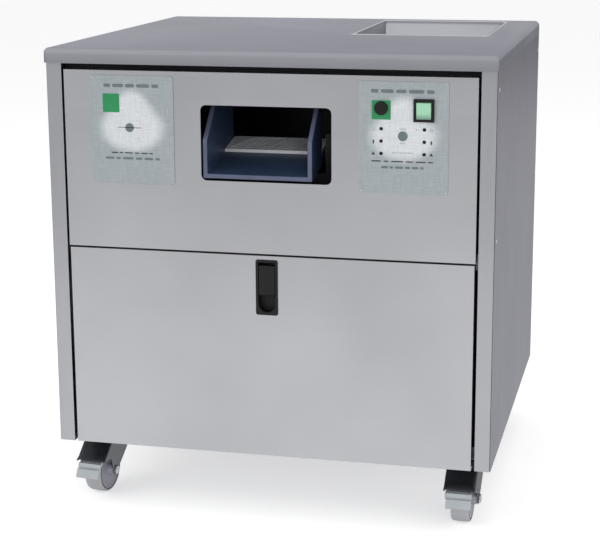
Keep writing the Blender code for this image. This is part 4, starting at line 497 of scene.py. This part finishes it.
def frame_round(across, up, half, hole):
    """A square mark with a round hole.

    The outline reaches half / max(|cos t|, |sin t|), and the hole its radius.
    """
    turn = math.pi / 4 + np.linspace(0, 2 * math.pi, 4 * PRINT_SIDES, endpoint=False)
    reach = half / np.maximum(np.abs(np.cos(turn)), np.abs(np.sin(turn)))
    rows = []
    for radius, along in ((hole, 1), (reach, 1), (reach, -1), (hole, -1)):
        sides = (across + radius * np.cos(turn), up + radius * np.sin(turn))
        rows.append(np.stack([sides[0], PLATE_FACE + along * PRINT_THICKNESS + 0 * turn, sides[1]], axis=-1))
    return np.stack(rows)


INK_GREEN = moulded("green_screen_ink", "#2F8B58", 0.5)
INK_GREY = moulded("grey_screen_ink", "#6B7678", 0.5)
INK_DARK = moulded("dark_grey_screen_ink", "#33383B", 0.5)
INK_PALE = moulded("pale_grey_screen_ink", "#B6BCBF", 0.5)
TITLE_SHARES = [3, 1, 5, 1, 4, 1, 6, 1, 3]
LINE_SHARES = [4, 1, 2, 1, 5, 1, 3, 1, 4, 1, 2]
for hand, centre in (("left", -211.5 * MM), ("right", 211.5 * MM)):
    sheet = label_sheet(f"{hand}_label_sheet", centre, "#9FA7AB", "#D3D7DA")
    dress(sheet, f"{hand}_label_plate")
    rivets = [(centre + side * CORNER_STUD, row) for side in (-1, 1) for row in (538.5 * MM, 700 * MM)]
    studs(f"{hand}_plate_rivets", rivets, "y", PLATE_FACE, 1.4 * MM, -0.7 * MM, BRIGHT_STEEL, "cabinet")
left_square = polygon(-244.5 * MM, 660.5 * MM, 13.5 * MM, 14.5 * MM, 0.02, 8, math.pi / 4)
printed("left_green_mark", INK_GREEN, [left_square])
right_square = [frame_round(177.7 * MM, 660.5 * MM, 14.3 * MM, 7.5 * MM)]
right_square = grid_mesh("right_green_mark", right_square, wrap=True, loop=True)
put("right_green_mark", right_square, INK_GREEN, "cabinet")
printed(
    "grey_marks",
    INK_GREY,
    [
        *bar_row(-256 * MM, -168 * MM, 687.5 * MM, 5.5 * MM, TITLE_SHARES),
        *bar_row(162 * MM, 257 * MM, 688.5 * MM, 5.5 * MM, TITLE_SHARES),
        *bar_row(-256 * MM, -168 * MM, 575.0 * MM, 3.6 * MM, LINE_SHARES),
        *bar_row(178 * MM, 242 * MM, 575.0 * MM, 3.6 * MM, LINE_SHARES),
        polygon(-215.5 * MM, 622.8 * MM, 7 * MM, 7 * MM),
        polygon(210.3 * MM, 622.1 * MM, 7.4 * MM, 7.4 * MM),
        polygon(-215.5 * MM, 622.8 * MM, 20 * MM, 0.5 * MM, 0.4),
    ],
)
printed(
    "dark_marks",
    INK_DARK,
    [
        *bar_row(-246 * MM, -179 * MM, 583.5 * MM, 1.8 * MM, LINE_SHARES),
        *bar_row(163 * MM, 256 * MM, 584.0 * MM, 1.8 * MM, LINE_SHARES),
        polygon(166 * MM, 613 * MM, 1.2 * MM, 3.0 * MM),
        polygon(253 * MM, 613 * MM, 1.2 * MM, 3.0 * MM),
        polygon(166 * MM, 595 * MM, 3.4 * MM, 3.0 * MM, 1, 3, math.pi / 2),
        polygon(253 * MM, 595 * MM, 3.4 * MM, 3.0 * MM, 1, 3, math.pi / 2),
    ],
)
printed(
    "pale_marks",
    INK_PALE,
    [
        polygon(166 * MM, 632 * MM, 3.2 * MM, 3.2 * MM),
        polygon(253 * MM, 632 * MM, 3.2 * MM, 3.2 * MM),
        polygon(231 * MM, 632 * MM, 3.0 * MM, 2.2 * MM, 1, 3),
        polygon(210.3 * MM, 632.8 * MM, 5 * MM, 1 * MM, 0.4),
        polygon(210.3 * MM, 611.5 * MM, 4 * MM, 1 * MM, 0.4),
        *bar_row(194 * MM, 226 * MM, 597 * MM, 2.4 * MM, LINE_SHARES),
    ],
)


# Controls: a lit rocker in a black frame, a black push button, and two strips of three small lamps. The
# electrics box behind them is folded from coated sheet.
def lit_lens(name, middle, low, pale, dark):
    """A clear green key with ribs, pale in the middle and duller towards its foot, which glows faintly."""
    made, tree, surface = bare_finish(name, pale, 0.28)
    place = add_node(tree, "ShaderNodeTexCoord")
    height = add_node(tree, "ShaderNodeSeparateXYZ", {0: place.outputs["Object"]})
    foot = {"Value": height.outputs["Z"], "From Min": low, "From Max": middle}
    foot = add_node(tree, "ShaderNodeMapRange", foot | {"To Min": 1.0, "To Max": 0.0})
    ink = tree.nodes.new("ShaderNodeMix")
    ink.data_type = "RGBA"
    tree.links.new(foot.outputs[0], ink.inputs[0])
    ink.inputs[6].default_value = linear(pale)
    ink.inputs[7].default_value = linear(dark)
    ribs = {"Vector": place.outputs["Object"], "Scale": 1 / (14 * MM), "Distortion": 0.2}
    ribs = add_node(tree, "ShaderNodeTexWave", ribs, bands_direction="X")
    relief = {"Height": ribs.outputs["Fac"], "Strength": 0.4, "Distance": 0.3 * MM}
    relief = add_node(tree, "ShaderNodeBump", relief)
    tree.links.new(ink.outputs[2], surface.inputs["Base Color"])
    tree.links.new(ink.outputs[2], surface.inputs["Emission Color"])
    surface.inputs["Emission Strength"].default_value = 0.12
    tree.links.new(relief.outputs[0], surface.inputs["Normal"])
    return made


LENS = lit_lens("green_rocker_lens", 657 * MM, 649 * MM, "#98CBA9", "#6F8C80")
BUTTON_PLACE = (177.7 * MM, 663.2 * MM)
BUTTON_RADIUS = 10.3 * MM
BUTTON_FACE = -327.1 * MM
BUTTON_SKIRT = -320.9 * MM
BUTTON_STEM = 5.5 * MM
BUTTON_END = -306.7 * MM
BUTTON_SIDES = 64
folded_copy("rocker_housing", BLACK_ABS, 0.5 * MM, "cabinet", 3)
folded_copy("rocker_key", LENS, 0.4 * MM, "rocker", 3, 15)
profile = np.array(
    [
        (0.02, 0.0),
        (0.45, 0.02),
        (0.72, 0.07),
        (0.88, 0.18),
        (0.97, 0.38),
        (1.00, 0.62),
        (1.00, 1.0),
    ]
)
radius = np.append(profile[:, 0] * BUTTON_RADIUS, [BUTTON_STEM, BUTTON_STEM, BUTTON_STEM / 20])
along = BUTTON_FACE + profile[:, 1] * (BUTTON_SKIRT - BUTTON_FACE)
along = np.append(along, [BUTTON_SKIRT, BUTTON_END, BUTTON_END])
turn = np.linspace(0, 2 * math.pi, BUTTON_SIDES, endpoint=False)[None]
cap = np.stack(
    [
        BUTTON_PLACE[0] + radius[:, None] * np.cos(turn),
        along[:, None] + 0 * turn,
        BUTTON_PLACE[1] + radius[:, None] * np.sin(turn),
    ],
    axis=-1,
)
button = grid_mesh("start_button_cap", [cap], wrap=True, cap=True)
button = put("start_button_cap", button, BLACK_ABS, "button", 40)
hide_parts("start_button")
for hand in ("left", "right"):
    folded_copy(f"indicator_strip_{hand}", BLACK_ABS, 0.3 * MM, "cabinet", 2, 40)
BOX_COAT = moulded("grey_coated_sheet", "#6A6E72", 0.5, 1.4 * MM)
folded_copy("electrics_box", BOX_COAT, CUT_EDGE, "cabinet")
folded_copy("cable_gland", BLACK_ABS, MOULD_EDGE, "cabinet", 2, 40)


# Vibrating unit: a steel ring bowl with its ramp over a cast motor, on four coil springs, with a heater ring
# below the trough and a short drain spout.
CAST_PAINT = moulded("painted_cast_iron", "#3F464B", 0.5, 3 * MM, 0.15 * MM, 0.12)
SPRING_STEEL = satin_steel("drawn_spring_steel", "#8A8C90", "z", 0.35)
HEATER_SHEET = satin_steel("heat_tinted_steel", "#7A6F62", "x", 0.5)
BOWL_STEEL = satin_steel("worn_bowl_steel", "#4E4E52", "x", 0.46)
for node in ("polishing_bowl", "spiral_ramp"):
    folded_copy(node, BOWL_STEEL, CUT_EDGE, "shaker", 2, 40)
folded_copy("motor_mount_plate", PLAIN_STEEL, 0.8 * MM, "shaker")
folded_copy("motor_housing", CAST_PAINT, 1.5 * MM, "shaker", 2, 40)
folded_copy("heater_ring", HEATER_SHEET, CUT_EDGE, "shaker", 2, 40)
folded_copy("drain_spout", PLAIN_STEEL, CUT_EDGE, "shaker", 2, 40)
folded_copy("drain_valve", ZINC, CUT_EDGE, "valve", 2, 40)
dress(CAST_PAINT, "motor_rotor")
dress(SPRING_STEEL, "spring_front_left", "spring_front_right", "spring_rear_left", "spring_rear_right")


# Discharge chute: a navy moulded channel whose faces turned to the front are a paler navy, and a slotted
# steel grid behind it that lets the granulate fall back.
NAVY_ABS = moulded("navy_moulded_abs", "#2F3E57", 0.42, 1.2 * MM, 0.05 * MM, 0.10)
NAVY_FRONT_FACES = moulded("navy_abs_paler_front_faces", "#5C6178", 0.5, 1.2 * MM, 0.05 * MM, 0.12)
FRONT_FACING_LIMIT = -0.55
GRID_STEEL = moulded("tumbled_grid_steel", "#DDE0E4", 0.34, 0.6 * MM, 0.02 * MM, 0.04, 0.25)
chute = folded_copy("discharge_chute", NAVY_ABS, 1.2 * MM, "shaker", 3)
chute.data.materials.append(NAVY_FRONT_FACES)
# Faces turned towards the front take the paler navy.
facing = np.empty(3 * len(chute.data.polygons), dtype=np.float32)
chute.data.polygons.foreach_get("normal", facing)
chute.data.polygons.foreach_set("material_index", (facing[1::3] < FRONT_FACING_LIMIT).astype(np.int32))
folded_copy("separating_grid", GRID_STEEL, CUT_EDGE, "shaker", 2)
dress(NAVY_ABS, "hub_cap")


# Castors: a pressed housing turns on the plate bolted under the base, and carries a wheel of pale grey rubber
# on a bolt with a hexagon nut at each end. Bolt and nuts are bright zinc; the housing's zinc is painted
# darker as shade under the cabinet, and its top faces darker still as painted shade and painted dark
# reflection.
TYRE_RUBBER = moulded("non_marking_grey_rubber", "#B9BABD", 0.62, 1.5 * MM, 0.06 * MM, 0.08)
RIM_NYLON = moulded("grey_moulded_nylon", "#9C9AA6", 0.45, 0.8 * MM)
DARK_GAP = moulded("dark_wheel_seam", "#2A2833", 0.7)
# The housing's zinc is darker than the bolt and nuts: painted shade under the cabinet.
SHADED_HOUSING_ZINC = satin_steel("zinc_pressing_painted_shade", "#76787C", "z", 0.34)
PEDAL_ZINC = moulded("speckled_zinc_plate", "#B4B9BD", 0.4, 1.6 * MM, 0.12 * MM, 0.08, 0.6)
# A darker zinc still for the housing's top faces: painted shade and painted dark reflection of the cabinet's
# underside.
TOP_FACES_SHADE_ZINC = satin_steel("zinc_top_faces_painted_shade", "#4A4B4F", "y", 0.3)
WHEEL_RADIUS = 37.5 * MM
WHEEL_HALF = 15.5 * MM
SHOULDER = 4.5 * MM
RIM_RADIUS = 32.5 * MM
SEAM = 1.3 * MM
DISH = 2.2 * MM
HUB_BOSS_RADIUS = 9 * MM
BORE_RADIUS = 4.3 * MM
FORK_HALF = 25.5 * MM
FORK_SHEET = 2.2 * MM
FOLD = 5 * MM
TRAIL = 30 * MM
TOP = 97.4 * MM
LIP = (-72 * MM, 64.5 * MM)
LIP_DEPTH = 3 * MM
BOSS = 9 * MM
HOUSING_REAR = 36 * MM
HOUSING_SHOULDER = -36 * MM
WHEEL_SIDES = 72


def soften(corners, reach, steps=4):
    """A closed outline with eased corners.

    Near corner C it is (1 - s)^2 A + 2 s (1 - s) C + s^2 B, where A and B lie a reach from C on its edges.
    """
    corners = np.asarray(corners, float)
    reach = np.broadcast_to(reach, len(corners))[:, None, None]
    share = np.linspace(0, 1, steps + 1)[None, :, None]
    before = np.roll(corners, 1, axis=0) - corners
    after = np.roll(corners, -1, axis=0) - corners
    before /= np.linalg.norm(before, axis=1, keepdims=True)
    after /= np.linalg.norm(after, axis=1, keepdims=True)
    middle = corners[:, None]
    start = middle + reach * before[:, None]
    end = middle + reach * after[:, None]
    eased = (1 - share) ** 2 * start + 2 * share * (1 - share) * middle + share**2 * end
    return eased.reshape(-1, 2)


def turned_ring(profile, centre, sides=WHEEL_SIDES):
    """A closed profile of (radius, along) turned round an axle along x: (along, y + r cos a, z + r sin a)."""
    turn = np.linspace(0, 2 * math.pi, sides, endpoint=False)[:, None]
    radius, along = np.asarray(profile).T
    return np.stack(
        [
            np.broadcast_to(along, (sides, len(along))),
            centre[0] + radius * np.cos(turn),
            centre[1] + radius * np.sin(turn),
        ],
        axis=-1,
    )


def housing_grid():
    """The pressed housing as stations along y: a flank, a folded corner, the top, a corner and a flank each.

    The top is flat and then slopes to the lip, the lower edge dips to a leg at the axle, the rear is round.
    """
    y = np.linspace(HOUSING_REAR, LIP[0], 118)[:, None]
    stations = [-HOUSING_REAR, -HOUSING_SHOULDER - 4 * MM, -HOUSING_SHOULDER + 4 * MM, -LIP[0]]
    top = np.interp(-y, stations, [TOP, TOP, TOP - 4 * MM, LIP[1]])
    edge = np.array(
        [
            (HOUSING_REAR, TOP - 13 * MM),
            (-TRAIL + BOSS, WHEEL_RADIUS + 2 * MM),
            (-TRAIL + BOSS - 3 * MM, WHEEL_RADIUS - BOSS + 4 * MM),
            (-TRAIL, WHEEL_RADIUS - BOSS),
            (-TRAIL - BOSS + 3 * MM, WHEEL_RADIUS - BOSS + 4 * MM),
            (-TRAIL - BOSS, WHEEL_RADIUS + 4 * MM),
            (-TRAIL - BOSS - 4 * MM, WHEEL_RADIUS + 20 * MM),
            (-TRAIL - BOSS - 9 * MM, WHEEL_RADIUS + 24 * MM),
            (-TRAIL - BOSS - 20 * MM, WHEEL_RADIUS + 24 * MM),
            (LIP[0], LIP[1] - LIP_DEPTH),
        ]
    )
    low = np.interp(-y, -edge[:, 0], edge[:, 1])
    half = FORK_HALF * np.sqrt(1 - np.clip((y - 8 * MM) / (HOUSING_REAR - 6 * MM), 0, 1) ** 2)
    fold = np.minimum(FOLD, 0.6 * (top - low))
    turn = np.linspace(0, math.pi / 2, 6)[None]
    down = np.linspace(0, 1, 12)[None]
    over = np.linspace(-1, 1, 10)[None, 1:-1]
    left = np.stack([0 * down - half, 0 * down + y, low + (top - fold - low) * down], axis=-1)
    bend = [-half + fold * (1 - np.cos(turn)), 0 * turn + y, top - fold + fold * np.sin(turn)]
    bend = np.stack(bend, axis=-1)
    across = np.stack([(half - fold) * over, 0 * over + y, 0 * over + top], axis=-1)
    left = left[:, :-1]
    mirror = np.array([-1, 1, 1])
    return np.concatenate([left, bend, across, bend[:, ::-1] * mirror, left[:, ::-1] * mirror], axis=1)


def castor_piece(name, points, surface, body, smooth_angle=35, **ends):
    """Puts one piece of the castor at this corner where it stands, to ride on a body of that corner."""
    mesh = grid_mesh(name, [points], **ends)
    mesh.transform(stand)
    return put(f"castor_{name}_{corner}", mesh, surface, f"{body}_{corner}", smooth_angle)


tyre_profile = soften(
    [
        (RIM_RADIUS + SEAM, -WHEEL_HALF + SEAM),
        (WHEEL_RADIUS - SHOULDER / 3, -WHEEL_HALF + SEAM / 2),
        (WHEEL_RADIUS, -WHEEL_HALF + SHOULDER),
        (WHEEL_RADIUS, WHEEL_HALF - SHOULDER),
        (WHEEL_RADIUS - SHOULDER / 3, WHEEL_HALF - SEAM / 2),
        (RIM_RADIUS + SEAM, WHEEL_HALF - SEAM),
    ],
    [0.3 * MM, 1.6 * MM, 1.6 * MM, 1.6 * MM, 1.6 * MM, 0.3 * MM],
)
rim_profile = soften(
    [
        (BORE_RADIUS, -FORK_HALF + FORK_SHEET + 0.6 * MM),
        (HUB_BOSS_RADIUS, -FORK_HALF + FORK_SHEET + 0.6 * MM),
        (HUB_BOSS_RADIUS + 1 * MM, -WHEEL_HALF + DISH),
        (RIM_RADIUS - 5 * MM, -WHEEL_HALF + DISH),
        (RIM_RADIUS - 2.5 * MM, -WHEEL_HALF + SEAM / 2),
        (RIM_RADIUS, -WHEEL_HALF + SEAM),
        (RIM_RADIUS, WHEEL_HALF - SEAM),
        (RIM_RADIUS - 2.5 * MM, WHEEL_HALF - SEAM / 2),
        (RIM_RADIUS - 5 * MM, WHEEL_HALF - DISH),
        (HUB_BOSS_RADIUS + 1 * MM, WHEEL_HALF - DISH),
        (HUB_BOSS_RADIUS, FORK_HALF - FORK_SHEET - 0.6 * MM),
        (BORE_RADIUS, FORK_HALF - FORK_SHEET - 0.6 * MM),
    ],
    0.5 * MM,
    steps=2,
)
seam_profile = [
    (RIM_RADIUS, -WHEEL_HALF + 0.8 * SEAM),
    (RIM_RADIUS + SEAM, -WHEEL_HALF + 0.8 * SEAM),
    (RIM_RADIUS + SEAM, WHEEL_HALF - 0.8 * SEAM),
    (RIM_RADIUS, WHEEL_HALF - 0.8 * SEAM),
]
PEDAL_HALF = 19.5 * MM
pedal_outline = soften(
    np.array(
        [
            (-56.0, 67.6),
            (-56.0, 70.6),
            (-72.5, 59.6),
            (-76.0, 60.4),
            (-79.0, 54.6),
            (-76.6, 53.6),
            (-78.0, 51.6),
            (-81.2, 52.2),
            (-87.5, 40.2),
            (-85.8, 37.6),
            (-84.2, 38.2),
            (-77.0, 48.8),
            (-72.0, 53.5),
        ]
    )
    * MM,
    0.7 * MM,
    steps=2,
)
NUT_RADIUS = 7.6 * MM
NUT_HEIGHT = 3 * MM
PIN_RADIUS = 4 * MM
PIN_SIDES = 24
axle_centre = (-TRAIL, WHEEL_RADIUS)
nut_turns = np.linspace(0, 2 * math.pi, 6, endpoint=False)
nut_outline = np.stack([np.cos(nut_turns), np.sin(nut_turns)], axis=-1)
nut_outline = axle_centre + NUT_RADIUS * nut_outline
pin_outline = nut_outline.mean(axis=0) + (turned_ring([(PIN_RADIUS, 0)], (0, 0), PIN_SIDES)[:, 0, 1:])

swivels = {j["name"][-2:]: j["pos_m"] for j in frame["joints"] if j["name"].startswith("swivel_")}
axles = {j["name"][-2:]: j["axis"] for j in frame["joints"] if j["name"].startswith("wheel_")}
for corner, place in swivels.items():
    turn = math.atan2(axles[corner][1], axles[corner][0])
    stand = Matrix.Translation((place[0], place[1], 0)) @ Matrix.Rotation(turn, 4, "Z")
    tyre = turned_ring(tyre_profile, axle_centre)
    tyre = castor_piece("tyre", tyre, TYRE_RUBBER, "wheel_body", wrap=True, loop=True)
    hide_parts(f"castor_wheel_{corner}")
    rim = turned_ring(rim_profile, axle_centre)
    castor_piece("rim", rim, RIM_NYLON, "wheel_body", wrap=True, loop=True)
    seam = turned_ring(seam_profile, axle_centre)
    castor_piece("seam", seam, DARK_GAP, "wheel_body", wrap=True, loop=True)
    housing = castor_piece("housing", housing_grid(), SHADED_HOUSING_ZINC, "fork")
    housing.data.materials.append(TOP_FACES_SHADE_ZINC)
    # Faces turned up or down take the darker zinc, painted shade and dark reflection.
    facing = np.empty(3 * len(housing.data.polygons), dtype=np.float32)
    housing.data.polygons.foreach_get("normal", facing)
    housing.data.polygons.foreach_set("material_index", (np.abs(facing[2::3]) > 0.5).astype(np.int32))
    thickness = housing.modifiers.new("sheet", "SOLIDIFY")
    thickness.thickness = FORK_SHEET
    thickness.offset = -1
    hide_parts(f"castor_fork_{corner}")
    reach = FORK_HALF + NUT_HEIGHT + 0.5 * MM
    bolt = extruded(pin_outline, -reach, reach, 0.5 * MM)
    bolt = castor_piece("bolt", bolt, ZINC, "fork", wrap=True, cap=True)
    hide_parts(f"castor_axle_{corner}")
    for side, hand in ((-1, "left"), (1, "right")):
        ends = sorted((side * (FORK_HALF + 0.2 * MM), side * (FORK_HALF + NUT_HEIGHT)))
        nut = extruded(nut_outline, *ends, 0.6 * MM)
        castor_piece(f"nut_{hand}", nut, ZINC, "fork", 20, wrap=True, cap=True)
    if corner[0] == "f":
        pedal = extruded(pedal_outline, -PEDAL_HALF, PEDAL_HALF, 0.8 * MM)
        pedal = castor_piece("pedal", pedal, PEDAL_ZINC, "pedal", wrap=True, cap=True)
        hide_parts(f"castor_pedal_{corner}")
    dress(ZINC, f"castor_plate_{corner}")
